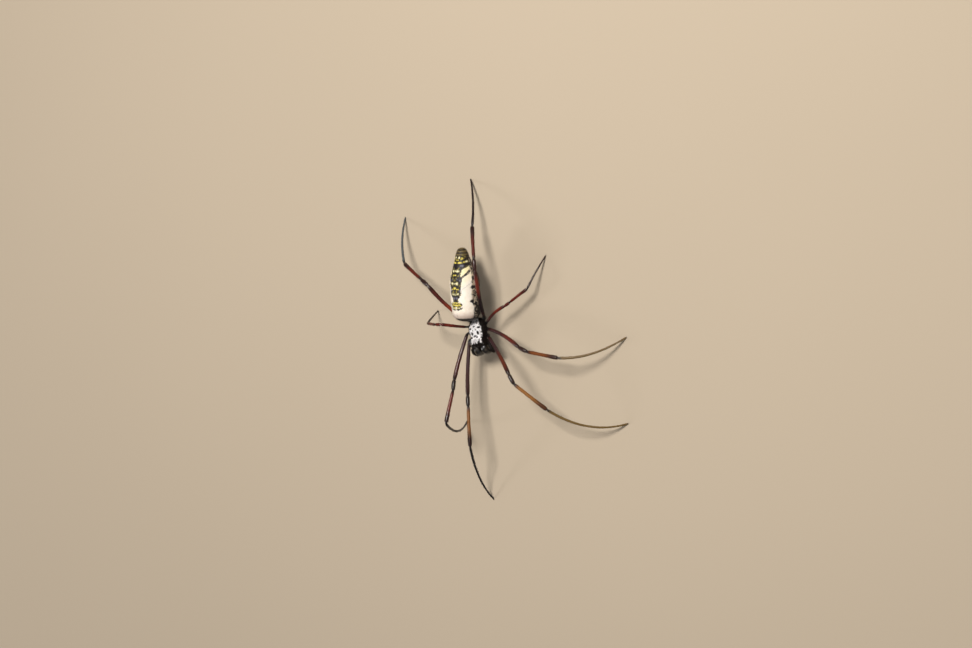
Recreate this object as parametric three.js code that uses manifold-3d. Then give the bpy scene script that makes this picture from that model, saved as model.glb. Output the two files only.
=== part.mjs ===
// Golden silk orb weaver, an adult female at life size, as a still display model.
// Millimetres, Z up. The head points to -Y, the spider's left is +X, the floor is Z = 0.
// The pose is built round the middle of the leg ring, and the whole is moved at the end
// so that the origin lies on the floor under the middle of its bounding box.
import * as THREE from 'three';
import { mergeVertices } from 'three/addons/utils/BufferGeometryUtils.js';
import Module from 'manifold-3d';

const wasm = await Module();
wasm.setup();

// Driving dimensions
const gap = 0.3;              // between two nodes that touch
const hipHeight = 8.7;        // outer ends of the coxae above the floor, with the body level
const headLift = 8;           // the cephalothorax is tipped head up, degrees
const thoraxPivot = 8.2;      // height of the point that it tips about
const footHeight = 0.1;       // middle of the tarsus tip above the floor
const legSides = 8;

// Lengths of each pair of legs: femur, patella, tibia, and metatarsus with tarsus.
// hip is the outer end of the coxa, from the middle of the body; girth scales the thickness.
const pairs = {
  1: { femur: 18.3, patella: 3.7, tibia: 13.5, foot: 26.3, hip: [3.9, -3.3], girth: 1 },
  2: { femur: 15.8, patella: 3.7, tibia: 11.2, foot: 22.7, hip: [4.4, -1.1], girth: 1 },
  3: { femur: 9.0, patella: 2.3, tibia: 7.6, foot: 12.2, hip: [4.3, 1.1], girth: 0.76 },
  4: { femur: 17.3, patella: 3.8, tibia: 11.4, foot: 17.5, hip: [3.5, 3.1], girth: 1 },
};

// The pose. Each joint has a heading in the plane of the floor, counted from +X, and a rise
// above it, in degrees. The metatarsus falls as steeply as it needs to reach the floor.
// arch bends the femur and bow the metatarsus, in millimetres at mid-length; curl shifts the
// curve again near the tip.
const legs = {
  l1: { femur: [-53, 24.5], patella: [-69, 3.5], tibia: [-53, -14], foot: -28,
    arch: [0.7, 0.3, 0.5], bow: [-0.4, -2.9, 0.7], curl: [0, 0, 0] },
  l2: { femur: [-30.5, 15], patella: [-34, 2], tibia: [-21.5, -6.5], foot: 3.5,
    arch: [0.5, 0.9, 0.4], bow: [-0.2, -1.8, 0.8], curl: [0, 0, 0] },
  l3: { femur: [25.5, -4.5], patella: [21, -7], tibia: [23.5, -14], foot: 55,
    arch: [0, 0.6, 0.4], bow: [0, 0, 0.5], curl: [0, 0, 0] },
  l4: { femur: [71.5, 19], patella: [87, -10], tibia: [93.5, -22.5], foot: 99.5,
    arch: [0.7, -0.2, 1.45], bow: [1.0, 0, 0.5], curl: [0, 0, 0] },
  r1: { femur: [-104, 8], patella: [-90, 18], tibia: [-95.5, 11.5], foot: -111,
    arch: [0, 0, 0.5], bow: [-1.1, 0.2, 0.3], curl: [-1.0, -0.7, 0] },
  r2: { femur: [-110, 24], patella: [-99, 22.5], tibia: [-104.5, 24.5], foot: -164,
    arch: [0, 0, 0.5], bow: [-0.4, -2.5, 0.4], curl: [0, -0.8, 0] },
  r3: { femur: [147, 53], patella: [172, -2], tibia: [172, -33.5], foot: 139,
    arch: [0, 0, 0.3], bow: [0, 0, 0.4], curl: [0, 0, 0] },
  r4: { femur: [119, 19.5], patella: [136.5, -11], tibia: [143, -21], foot: 98,
    arch: [-0.5, -0.7, 0.1], bow: [-0.7, 0, 0.6], curl: [0, 0, 0] },
};

// Half thickness along each joint, as [share of its length, millimetres]
const femurGirth = [[0, 0.46], [0.05, 0.56], [0.3, 0.6], [0.6, 0.62], [0.86, 0.68], [0.96, 0.66], [1, 0.54]];
const patellaGirth = [[0, 0.54], [0.15, 0.64], [0.6, 0.68], [0.9, 0.6], [1, 0.48]];
const tibiaGirth = [[0, 0.44], [0.07, 0.52], [0.4, 0.53], [0.65, 0.58], [0.85, 0.66], [0.96, 0.64], [1, 0.46]];
const coxaGirth = [[0, 0.9], [0.35, 0.98], [0.62, 0.88], [0.7, 0.72], [0.88, 0.68], [1, 0.42]];
const footGirth = [[0, 0.34], [0.03, 0.44], [0.3, 0.37], [0.72, 0.31], [0.76, 0.28], [0.96, 0.27],
  [1, 0.2]];

const clawLength = 0.6;
const clawRadius = 0.11;
const clawSpread = 0.12;      // to either side of the middle

// The cephalothorax, before it is tipped
const thoraxRear = 3.4;
const headFront = -6.3;
const thoraxWidth = 6.9;
const headWidth = 5.7;
const neckPlace = -3.2;
const thoraxTop = 10.6;
const headTop = 11.5;
const sternumHeight = 6.3;
const rimHeight = 8.2;        // where the carapace is widest
const eyeRadius = 0.24;
const socketGap = 0.1;        // round each eye

// The abdomen, along its own axis from the blunt front to the tail
const abdomenFront = [-1.05, 3.0, 11.8];   // X, Y and height of the foremost point
const abdomenYaw = 11;        // turned towards the spider's left, degrees
const abdomenDip = 3;         // tail lower than the front, degrees
const abdomenLength = 24.4;
const abdomenWidth = 9.5;
const abdomenDepth = 9.8;
const shoulderLength = 3.6;   // rounded front
const tailStart = 12.9;       // where the sides begin to draw in
const tailTipLength = 3.2;    // rounded end
const tailTipRadius = 2.0;
const tailRise = 0.6;         // the tail's middle lies above the axis
const spinneretPlace = 17.2;

// Points, directions and surfaces

const vec = (x, y, z) => new THREE.Vector3(x, y, z);
const radians = THREE.MathUtils.degToRad;

function direction([heading, rise]) {
  const level = Math.cos(radians(rise));
  return vec(Math.cos(radians(heading)) * level, Math.sin(radians(heading)) * level, Math.sin(radians(rise)));
}

function blend(stops, t) {
  let i = 1;
  while (i < stops.length - 1 && stops[i][0] < t) i += 1;
  const [t0, a] = stops[i - 1];
  const [t1, b] = stops[i];
  return a + (b - a) * THREE.MathUtils.clamp((t - t0) / (t1 - t0), 0, 1);
}

// Eases from 0 at a to 1 at b, in either direction.
function smooth(a, b, t) {
  const u = THREE.MathUtils.clamp((t - a) / (b - a), 0, 1);
  return u * u * (3 - 2 * u);
}

// A closed skin over rings of points, the same count in each, with a fan at either end.
function skin(rings) {
  const sides = rings[0].length;
  const points = rings.flat();
  const faces = [];
  for (let i = 0; i < rings.length - 1; i += 1) {
    for (let j = 0; j < sides; j += 1) {
      const a = i * sides + j;
      const b = i * sides + (j + 1) % sides;
      faces.push(a, b, a + sides, b, b + sides, a + sides);
    }
  }
  for (const [ring, turn] of [[0, 1], [rings.length - 1, -1]]) {
    const middle = rings[ring].reduce((sum, p) => sum.add(p), vec(0, 0, 0)).divideScalar(sides);
    const centre = points.push(middle) - 1;
    for (let j = 0; j < sides; j += 1) {
      const a = ring * sides + j;
      const b = ring * sides + (j + 1) % sides;
      faces.push(...(turn > 0 ? [centre, b, a] : [centre, a, b]));
    }
  }
  const geometry = new THREE.BufferGeometry().setFromPoints(points);
  geometry.setIndex(faces);
  return geometry;
}

// A tapering limb along a curve. start and end hold it back from the curve's ends; flat
// narrows it sideways, and up says which way its depth lies.
function limb(curve, girth, options = {}) {
  const { start = 0, end = 0, sides = legSides, steps = 8, flat = 1, scale = 1, up = vec(0, 0, 1) } = options;
  const total = curve.getLength();
  const places = girth.map(([t]) => t);
  for (let i = 1; i < steps; i += 1) {
    const near = places.some((t) => Math.abs(t - i / steps) < 0.4 / steps);
    if (!near) places.push(i / steps);
  }
  places.sort((a, b) => a - b);
  const rings = places.map((t) => {
    const u = (start + (total - start - end) * t) / total;
    const centre = curve.getPointAt(u);
    const along = curve.getTangentAt(u);
    const across = along.clone().cross(up).normalize();
    const over = across.clone().cross(along);
    const r = blend(girth, t) * scale;
    return Array.from({ length: sides }, (_, j) => {
      const angle = (2 * Math.PI * (j + 0.5)) / sides;
      return centre.clone()
        .addScaledVector(across, Math.cos(angle) * r * flat)
        .addScaledVector(over, -Math.sin(angle) * r);
    });
  });
  return skin(rings);
}

// Booleans

function toSolid(geometry) {
  const bare = geometry.clone();
  bare.deleteAttribute('normal');
  bare.deleteAttribute('uv');
  const merged = mergeVertices(bare, 1e-5);
  return new wasm.Manifold(new wasm.Mesh({
    numProp: 3,
    vertProperties: new Float32Array(merged.attributes.position.array),
    triVerts: new Uint32Array(merged.index.array),
  }));
}

// The largest closed surface of a solid, as a geometry.
function toGeometry(solid) {
  const pieces = solid.decompose().sort((a, b) => b.volume() - a.volume());
  const mesh = pieces[0].getMesh();
  const geometry = new THREE.BufferGeometry();
  geometry.setAttribute('position', new THREE.BufferAttribute(new Float32Array(mesh.vertProperties), 3));
  geometry.setIndex(new THREE.BufferAttribute(new Uint32Array(mesh.triVerts), 1));
  return geometry;
}

function ellipsoid(centre, size, sides) {
  const geometry = new THREE.SphereGeometry(1, sides, 6);
  geometry.rotateX(Math.PI / 2);
  geometry.scale(...size);
  geometry.translate(...centre);
  return geometry;
}

// Materials

function finish(color, roughness) {
  return new THREE.MeshStandardMaterial({ color, roughness, metalness: 0 });
}

const silverBlack = finish(0x8d8a86, 0.55);
const glossBlack = finish(0x14100e, 0.25);
const coxaBlack = finish(0x1b1614, 0.4);
const femurRed = finish(0x43160f, 0.4);
const patellaDark = finish(0x1e0f0d, 0.4);
const tibiaRed = finish(0x8c2f16, 0.4);
const footDark = finish(0x3a2a1c, 0.5);
const abdomenPale = finish(0xe6ddc8, 0.6);
const tailDark = finish(0x3a3120, 0.6);
const eyeBlack = finish(0x060606, 0.08);

const spider = new THREE.Group();

function addNode(name, geometry, material) {
  const mesh = new THREE.Mesh(geometry, material);
  mesh.name = name;
  spider.add(mesh);
}

// Cephalothorax: a low carapace with a raised, narrower head, over a flat sternum

function thoraxHalfWidth(y) {
  const thorax = (thoraxWidth / 2) * Math.sqrt(Math.max(0, 1 - ((y + 0.4) / 4.3) ** 2));
  const head = (headWidth / 2) * (1 - 0.1 * smooth(-5, headFront, y));
  const front = smooth(neckPlace + 1.2, neckPlace - 1.2, y);
  return THREE.MathUtils.lerp(thorax, head, front);
}

function thoraxTopAt(y) {
  const rear = THREE.MathUtils.lerp(thoraxTop, rimHeight + 0.6, smooth(0.2, thoraxRear, y));
  const head = headTop - 0.6 * smooth(-4.9, headFront, y);
  const neck = 0.22 * Math.exp(-(((y - neckPlace) / 0.7) ** 2));
  return THREE.MathUtils.lerp(rear, head, smooth(neckPlace + 1, neckPlace - 1, y)) - neck;
}

function thoraxBottomAt(y) {
  const rear = (rimHeight - 0.75 - sternumHeight) * smooth(2.2, thoraxRear, y);
  const front = 0.9 * smooth(-4.6, headFront, y);
  return sternumHeight + rear + front;
}

// One cross-section, grown outwards by a margin: a domed roof and a narrower keel.
function thoraxRing(y, margin, sides) {
  const half = thoraxHalfWidth(y) + margin;
  const top = thoraxTopAt(y) + margin;
  const bottom = thoraxBottomAt(y) - margin;
  return Array.from({ length: sides }, (_, j) => {
    const angle = (2 * Math.PI * j) / sides;
    const c = Math.cos(angle);
    const s = Math.sin(angle);
    const keel = 1 - 0.2 * smooth(0, -0.8, s);
    const x = half * c * keel;
    const z = rimHeight + (s > 0 ? (top - rimHeight) * s : (rimHeight - bottom) * s);
    return vec(x, y, z);
  });
}

function thoraxBody(margin, sides, steps) {
  const rear = thoraxRear + margin;
  const front = headFront - margin;
  const rings = [];
  for (let i = 0; i <= steps; i += 1) {
    const y = THREE.MathUtils.lerp(rear, front, i / steps);
    const inner = THREE.MathUtils.clamp(y, headFront, thoraxRear);
    rings.push(thoraxRing(inner, margin, sides).map((p) => p.setY(y)));
  }
  // The two end faces draw in a little, so that the edges are rounded.
  for (const [at, share] of [[0, 0.8], [steps, 0.86]]) {
    const { y } = rings[at][0];
    const middle = vec(0, y, (thoraxTopAt(y) + thoraxBottomAt(y)) / 2);
    rings[at].forEach((p) => p.sub(middle).multiplyScalar(share).add(middle));
  }
  return skin(rings);
}

// The tilt of the cephalothorax and of all that it carries
const thoraxFrame = new THREE.Matrix4()
  .makeTranslation(0, 0, thoraxPivot)
  .multiply(new THREE.Matrix4().makeRotationX(-radians(headLift)))
  .multiply(new THREE.Matrix4().makeTranslation(0, 0, -thoraxPivot));

function onBody(geometry) {
  return geometry.applyMatrix4(thoraxFrame);
}

// Two rows of four eyes, before the tilt: the middle ones first, then the side ones
const eyeRows = [
  { x: 0.48, y: -6.25, z: 10.0 },
  { x: 0.55, y: -5.95, z: 10.8 },
  { x: 2.25, y: -6.0, z: 9.7 },
  { x: 2.45, y: -5.6, z: 10.25 },
];

function eyeCentres() {
  const list = [];
  for (const [side, mark] of [[1, 'l'], [-1, 'r']]) {
    eyeRows.forEach((eye, i) => {
      list.push([`eye_${mark}${i + 1}`, vec(side * eye.x, eye.y, eye.z).applyMatrix4(thoraxFrame)]);
    });
  }
  return list;
}

// The body with its lip, mouth lobes, horns and eye swellings, grown outwards by a margin
function thoraxSolid(margin) {
  const grown = (sizes) => sizes.map((size) => size + margin);
  const lip = ellipsoid([0, -6.2, 8.75], grown([2.3, 0.75, 0.95]), 12);
  let body = toSolid(onBody(thoraxBody(margin, 24, 22))).add(toSolid(onBody(lip)));
  for (const side of [1, -1]) {
    const lobe = ellipsoid([side * 0.95, -4.7, 6.45], grown([0.8, 1.35, 0.55]), 10);
    const horn = new THREE.ConeGeometry(0.3 + margin, 1.1 + margin, 6);
    horn.rotateX(Math.PI / 2);
    horn.translate(side * 1.0, -3.1, headTop - 0.4);
    const swelling = ellipsoid([side * 2.05, -5.6, 9.75], grown([0.5, 0.5, 0.6]), 8);
    for (const form of [lobe, horn, swelling]) body = body.add(toSolid(onBody(form)));
  }
  return body;
}

const thoraxGrown = thoraxSolid(gap);

let thorax = thoraxSolid(0);
for (const [, centre] of eyeCentres()) {
  const socket = new THREE.SphereGeometry(eyeRadius + socketGap, 8, 6);
  socket.translate(centre.x, centre.y, centre.z);
  thorax = thorax.subtract(toSolid(socket));
}
addNode('cephalothorax', toGeometry(thorax), silverBlack);

for (const [name, centre] of eyeCentres()) {
  const eye = new THREE.SphereGeometry(eyeRadius, 8, 6);
  eye.translate(centre.x, centre.y, centre.z);
  addNode(name, toGeometry(toSolid(eye)), eyeBlack);
}

// Jaws, before the tilt: stout, swollen in front near the top
const jawPath = [[1.36, -5.75, 8.42], [1.5, -7.2, 8.35], [1.58, -7.85, 7.0], [1.45, -7.15, 4.9]];
const jawGirth = [[0, 1.0], [0.15, 1.24], [0.38, 1.3], [0.7, 1.12], [0.92, 0.82], [1, 0.6]];

// A fang, folded across below each jaw
const fangPath = [[1.40, -7.10, 5.0], [1.3, -6.90, 4.1], [0.9, -6.15, 3.75], [0.4, -5.5, 3.95]];
const fangGirth = [[0, 0.44], [0.3, 0.38], [0.7, 0.24], [1, 0.1]];

// Palps: short legs beside the jaws
const palpPath = [[2.1, -4.4, 7.2], [3.4, -5.9, 7.9], [3.75, -7.3, 8.0], [3.5, -8.2, 6.7], [3.05, -8.35, 5.2]];
const palpGirth = [[0, 0.45], [0.15, 0.6], [0.4, 0.66], [0.5, 0.56], [0.72, 0.66], [0.9, 0.52], [1, 0.24]];

// A part on either side that starts inside the head and is cut off at the head's skin
function mouthPart(side, path, girth, options = {}) {
  const curve = new THREE.CatmullRomCurve3(path.map(([x, y, z]) => vec(side * x, y, z)));
  return toSolid(onBody(limb(curve, girth, options))).subtract(thoraxGrown);
}

for (const [side, mark] of [[1, 'left'], [-1, 'right']]) {
  const form = { sides: 12, up: vec(0, -1, 0) };
  const jaw = mouthPart(side, jawPath, jawGirth, { ...form, end: gap });
  addNode(`chelicera_${mark}`, toGeometry(jaw), glossBlack);
  // Grown by more than the gap, because the two are measured on a slant.
  const jawGrown = mouthPart(side, jawPath, jawGirth.map(([t, r]) => [t, r + 1.6 * gap]), form);
  const fang = mouthPart(side, fangPath, fangGirth, { sides: 6, steps: 5 });
  addNode(`fang_${mark}`, toGeometry(fang.subtract(jawGrown)), glossBlack);
  const palp = mouthPart(side, palpPath, palpGirth, { steps: 12 });
  addNode(`palp_${mark}`, toGeometry(palp.subtract(jawGrown)), coxaBlack);
}

// Abdomen: a long barrel with a high, round front and a blunt tail

const abdomenFrame = new THREE.Matrix4()
  .makeRotationFromEuler(new THREE.Euler(-radians(abdomenDip), 0, -radians(abdomenYaw), 'ZXY'))
  .setPosition(...abdomenFront);

// Rounds an end off: 0 at the end itself, 1 from the given length inwards.
function roundOff(distance, length, power) {
  return Math.sqrt(1 - Math.max(0, 1 - distance / length) ** power);
}

// Share of the full width and depth at a distance s from the front
function abdomenHalf(s) {
  const barrel = 1 - 0.05 * smooth(8, 2, s);
  const tail = (2 * tailTipRadius) / abdomenWidth;
  const side = THREE.MathUtils.lerp(barrel, tail, smooth(tailStart, abdomenLength - 1.2, s));
  return side * roundOff(s, shoulderLength, 2.3) * roundOff(abdomenLength - s, tailTipLength, 2.2);
}

function abdomenLift(s) {
  return tailRise * smooth(tailStart, abdomenLength, s);
}

function abdomenBody(margin, sides, steps) {
  const rings = [];
  for (let i = 0; i <= steps; i += 1) {
    // Rings crowd towards both ends, where the form turns.
    const t = 0.5 - 0.5 * Math.cos(Math.PI * THREE.MathUtils.lerp(0.035, 0.965, i / steps));
    const s = t * abdomenLength;
    const half = abdomenHalf(s);
    const end = margin * THREE.MathUtils.lerp(-1, 1, t);
    rings.push(Array.from({ length: sides }, (_, j) => {
      const angle = (2 * Math.PI * j) / sides;
      const x = Math.cos(angle) * ((abdomenWidth / 2) * half + margin);
      const z = Math.sin(angle) * ((abdomenDepth / 2) * half + margin) + abdomenLift(s);
      return vec(x, s + end, z).applyMatrix4(abdomenFrame);
    }).reverse());
  }
  return skin(rings);
}

const abdomenGrown = toSolid(abdomenBody(gap, 20, 18));
addNode('abdomen', toGeometry(toSolid(abdomenBody(0, 24, 24))), abdomenPale);

// Spinnerets: a front and a rear pair of blunt cones on a low mound under the tail
const spinneretPairs = [
  { x: 0.55, s: -0.6, length: 1.9, girth: 0.5, lean: -0.25 },
  { x: 0.55, s: 0.5, length: 2.0, girth: 0.46, lean: 0.5 },
];

function makeSpinnerets() {
  const belly = abdomenLift(spinneretPlace) - (abdomenDepth / 2) * abdomenHalf(spinneretPlace);
  const mound = ellipsoid([0, spinneretPlace, belly], [1.35, 1.35, 0.75], 10);
  let cluster = toSolid(mound.applyMatrix4(abdomenFrame));
  for (const pair of spinneretPairs) {
    for (const side of [1, -1]) {
      const cone = new THREE.CylinderGeometry(pair.girth, pair.girth * 0.55, pair.length, 8);
      cone.rotateX(Math.PI / 2);
      cone.translate(0, 0, -pair.length / 2);
      cone.rotateX(pair.lean);
      cone.translate(side * pair.x, spinneretPlace + pair.s, belly + 0.3);
      cluster = cluster.add(toSolid(cone.applyMatrix4(abdomenFrame)));
    }
  }
  return toGeometry(cluster.subtract(abdomenGrown));
}

addNode('spinnerets', makeSpinnerets(), tailDark);

// Pedicel: the narrow waist between the two halves of the body
const waist = new THREE.CatmullRomCurve3([
  vec(0, thoraxRear - 1, thoraxPivot - 0.5),
  vec(0, thoraxRear + 0.5, thoraxPivot - 0.3),
  vec(-0.1, thoraxRear + 2.4, thoraxPivot + 0.9),
]);
const waistSolid = toSolid(limb(waist, [[0, 0.55], [0.5, 0.5], [1, 0.6]]));
addNode('pedicel', toGeometry(waistSolid.subtract(thoraxGrown).subtract(abdomenGrown)), coxaBlack);

// Legs

// A curve from a to b that is bent by one shift at mid-length and by another near its end.
function bowed(a, b, bow, curl = [0, 0, 0]) {
  const shift = vec(...bow).multiplyScalar(4 / 3);
  const near = a.clone().lerp(b, 1 / 3).add(shift);
  const far = a.clone().lerp(b, 2 / 3).add(shift).add(vec(...curl));
  return new THREE.CubicBezierCurve3(a, near, far, b);
}

// How far an end stays back from its joint, so that two bent neighbours keep the gap.
function setBack(before, after, girth) {
  return gap / 2 + girth * Math.tan(before.angleTo(after) / 2);
}

// The middle lines of a leg's four outer parts, from the hip to the foot
function legLines(name) {
  const pose = legs[name];
  const pair = pairs[name[1]];
  const side = name[0] === 'l' ? 1 : -1;
  const hip = vec(side * pair.hip[0], pair.hip[1], hipHeight).applyMatrix4(thoraxFrame);
  const knee = hip.clone().addScaledVector(direction(pose.femur), pair.femur);
  const elbow = knee.clone().addScaledVector(direction(pose.patella), pair.patella);
  const ankle = elbow.clone().addScaledVector(direction(pose.tibia), pair.tibia);
  const drop = -THREE.MathUtils.radToDeg(Math.asin((ankle.z - footHeight) / pair.foot));
  const foot = ankle.clone().addScaledVector(direction([pose.foot, drop]), pair.foot);
  return {
    femur: bowed(hip, knee, pose.arch),
    patella: bowed(knee, elbow, [0, 0, 0.1]),
    tibia: bowed(elbow, ankle, [0, 0, 0.15]),
    metatarsus: bowed(ankle, foot, pose.bow, pose.curl),
  };
}

// Two small claws at the tip, and a flat sole where the tarsus rests on the floor
function footed(solid, line) {
  const foot = line.getPointAt(1);
  const way = line.getTangentAt(1).setZ(0).normalize();
  const across = way.clone().cross(vec(0, 0, 1));
  let result = solid;
  for (const offset of [clawSpread, -clawSpread]) {
    const claw = new THREE.ConeGeometry(clawRadius, clawLength, 5);
    claw.applyQuaternion(new THREE.Quaternion().setFromUnitVectors(vec(0, 1, 0), way));
    const place = foot.clone().addScaledVector(way, 0.4 * clawLength).addScaledVector(across, offset);
    claw.translate(place.x, place.y, clawRadius);
    result = result.add(toSolid(claw));
  }
  return result.trimByPlane([0, 0, 1], 0);
}

// Coxa and trochanter, from under the rim of the carapace to the femur
function makeCoxa(name, femur) {
  const pair = pairs[name[1]];
  const hip = femur.getPointAt(0);
  const inner = vec(Math.sign(hip.x) * 1.9, pair.hip[1] * 0.8, hipHeight - 1.5).applyMatrix4(thoraxFrame);
  const middle = hip.clone().lerp(inner, 0.4).add(vec(0, 0, -0.15));
  const line = new THREE.CatmullRomCurve3([inner, middle, hip]);
  const end = setBack(line.getTangentAt(1), femur.getTangentAt(0), 0.42);
  const coxa = limb(line, coxaGirth, { end, steps: 6, flat: 0.78, scale: pair.girth });
  return toSolid(coxa).subtract(thoraxGrown);
}

const legParts = [
  { part: 'femur', girth: femurGirth, steps: 8, material: femurRed },
  { part: 'patella', girth: patellaGirth, steps: 4, material: patellaDark },
  { part: 'tibia', girth: tibiaGirth, steps: 6, material: tibiaRed },
  { part: 'metatarsus', girth: footGirth, steps: 12, material: footDark },
];

for (const name of Object.keys(legs)) {
  const lines = legLines(name);
  const scale = pairs[name[1]].girth;
  addNode(`leg_${name}_coxa`, toGeometry(makeCoxa(name, lines.femur)), coxaBlack);
  legParts.forEach(({ part, girth, steps, material }, i) => {
    const line = lines[part];
    const rim = 0.8 * scale;
    const before = lines[legParts[i - 1]?.part]?.getTangentAt(1);
    const after = lines[legParts[i + 1]?.part]?.getTangentAt(0);
    const start = before ? setBack(before, line.getTangentAt(0), rim * girth[0][1]) : gap;
    const end = after ? setBack(line.getTangentAt(1), after, rim * girth.at(-1)[1]) : 0;
    const solid = toSolid(limb(line, girth, { start, end, steps, scale }));
    const shaped = part === 'metatarsus' ? footed(solid, line) : solid;
    addNode(`leg_${name}_${part}`, toGeometry(shaped), material);
  });
}

// The origin goes to the floor, under the middle of the whole.
const bounds = new THREE.Box3().setFromObject(spider);
const centre = bounds.getCenter(vec(0, 0, 0));
spider.position.set(-centre.x, -centre.y, -bounds.min.z);

export default spider;
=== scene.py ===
# A golden silk orb weaver: skins, eyes, jaws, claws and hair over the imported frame.
# Shapes are worked out in millimetres, and each mesh is made in metres.
import math

import bpy
import numpy as np
from mathutils import Matrix, Vector


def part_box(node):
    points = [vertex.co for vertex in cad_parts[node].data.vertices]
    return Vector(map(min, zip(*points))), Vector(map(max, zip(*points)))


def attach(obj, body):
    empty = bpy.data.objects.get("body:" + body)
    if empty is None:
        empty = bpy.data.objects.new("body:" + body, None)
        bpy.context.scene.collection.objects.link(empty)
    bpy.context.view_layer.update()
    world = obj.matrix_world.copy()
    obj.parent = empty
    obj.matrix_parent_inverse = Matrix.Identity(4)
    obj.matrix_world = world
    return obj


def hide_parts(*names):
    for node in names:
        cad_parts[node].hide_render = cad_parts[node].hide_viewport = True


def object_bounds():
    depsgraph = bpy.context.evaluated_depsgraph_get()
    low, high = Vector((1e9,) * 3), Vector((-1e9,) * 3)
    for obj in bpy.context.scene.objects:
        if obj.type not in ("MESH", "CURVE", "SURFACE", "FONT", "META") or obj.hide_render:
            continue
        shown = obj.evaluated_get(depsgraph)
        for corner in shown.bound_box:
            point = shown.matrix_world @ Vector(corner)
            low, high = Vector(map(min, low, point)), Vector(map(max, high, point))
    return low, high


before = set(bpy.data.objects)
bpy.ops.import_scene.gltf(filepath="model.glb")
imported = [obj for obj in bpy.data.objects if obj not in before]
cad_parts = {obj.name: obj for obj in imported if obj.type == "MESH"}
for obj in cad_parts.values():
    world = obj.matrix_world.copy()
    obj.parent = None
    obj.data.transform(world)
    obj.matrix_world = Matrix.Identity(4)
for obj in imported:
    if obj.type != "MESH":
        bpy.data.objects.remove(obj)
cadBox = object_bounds()
draw = np.random.default_rng(41)
mm = 0.001


# Shader maths: a socket that reads as a number or a colour in an expression.
class Socket:
    def __init__(self, shader, socket):
        self.shader = shader
        self.socket = socket

    def maths(self, operation, *others):
        return self.shader.maths(operation, self, *others)

    def __add__(self, other):
        return self.maths("ADD", other)

    def __radd__(self, other):
        return self.maths("ADD", other)

    def __sub__(self, other):
        return self.maths("SUBTRACT", other)

    def __rsub__(self, other):
        return self.shader.maths("SUBTRACT", other, self)

    def __mul__(self, other):
        return self.maths("MULTIPLY", other)

    def __rmul__(self, other):
        return self.maths("MULTIPLY", other)

    def __truediv__(self, other):
        return self.maths("DIVIDE", other)

    def __rtruediv__(self, other):
        return self.shader.maths("DIVIDE", other, self)

    def __pow__(self, other):
        return self.maths("POWER", other)

    def __abs__(self):
        return self.maths("ABSOLUTE")

    def part(self, name):
        return Socket(self.shader, self.socket.node.outputs[name])


class Shader:
    def __init__(self, name):
        self.material = bpy.data.materials.new(name)
        self.material.use_nodes = True
        self.tree = self.material.node_tree
        self.tree.nodes.clear()

    # One way to make every other node: its type, its settings, then values or links.
    def node(self, kind, settings=None, values=(), output=0):
        made = self.tree.nodes.new(kind)
        for key, value in (settings or {}).items():
            if key == "stops":
                self.setStops(made.color_ramp, value)
            else:
                setattr(made, key, value)
        pairs = values.items() if isinstance(values, dict) else enumerate(values)
        for key, value in pairs:
            self.feed(made.inputs[key], value)
        return Socket(self, made.outputs[output]) if made.outputs else None

    def maths(self, operation, *values):
        return self.node("ShaderNodeMath", {"operation": operation}, values)

    def feed(self, target, value):
        if isinstance(value, Socket):
            self.tree.links.new(value.socket, target)
        elif target.type == "RGBA":
            target.default_value = (*value[:3], 1)
        else:
            target.default_value = value

    def setStops(self, ramp, stops):
        while len(ramp.elements) < len(stops):
            ramp.elements.new(0.5)
        for element, (place, color) in zip(ramp.elements, stops):
            element.position = place
            element.color = (*color, 1) if isinstance(color, tuple) else (color, color, color, 1)

    # The three numbers that the mesh carries at each point
    def place(self):
        vector = self.node("ShaderNodeAttribute", {"attribute_name": "place"}, (), "Vector")
        split = self.node("ShaderNodeSeparateXYZ", None, (vector,))
        return split, split.part("Y"), split.part("Z")

    # The point on the object, in millimetres
    def point(self):
        spot = self.node("ShaderNodeTexCoord", None, (), "Object")
        return self.node("ShaderNodeVectorMath", {"operation": "SCALE"}, {0: spot, "Scale": 1 / mm})

    def noise(self, point, scale, detail=3.0, rough=0.55):
        values = {"Vector": point, "Scale": scale, "Detail": detail, "Roughness": rough}
        return self.node("ShaderNodeTexNoise", None, values)

    def cells(self, point, scale):
        return self.node("ShaderNodeTexVoronoi", None, {"Vector": point, "Scale": scale})

    def ease(self, value, low, high):
        values = {"Value": value, "From Min": low, "From Max": high}
        return self.node("ShaderNodeMapRange", {"interpolation_type": "SMOOTHSTEP"}, values)

    # A colour mix takes its factor at 0 and its colours at 6 and 7, and gives one at 2.
    def mix(self, factor, first, second):
        return self.node("ShaderNodeMix", {"data_type": "RGBA"}, {0: factor, 6: first, 7: second}, 2)

    def ramp(self, value, stops):
        return self.node("ShaderNodeValToRGB", {"stops": stops}, (value,))

    # How far a point is from the nearest of several oval marks: 1 on an edge
    def nearest(self, first, second, marks):
        reach = None
        for firstPlace, secondPlace, wide, long in marks:
            far = ((first - firstPlace) / wide) ** 2 + ((second - secondPlace) / long) ** 2
            reach = far if reach is None else reach.maths("MINIMUM", far)
        return reach ** 0.5

    def bump(self, height, distance, strength=1.0, normal=None):
        values = {"Height": height, "Distance": distance * mm, "Strength": strength}
        if normal is not None:
            values["Normal"] = normal
        return self.node("ShaderNodeBump", None, values)

    def finish(self, color, roughness, normal, shine=0.5, coat=0.0, coatRough=0.03):
        values = {
            "Base Color": color, "Roughness": roughness, "Normal": normal,
            "Specular IOR Level": shine, "Coat Weight": coat, "Coat Roughness": coatRough,
        }
        surface = self.node("ShaderNodeBsdfPrincipled", None, values)
        self.node("ShaderNodeOutputMaterial", None, (surface,))
        return self.material


# Numbers and lines

def ease(low, high, value):
    u = np.clip((value - low) / (high - low), 0, 1)
    return u * u * (3 - 2 * u)


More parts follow.
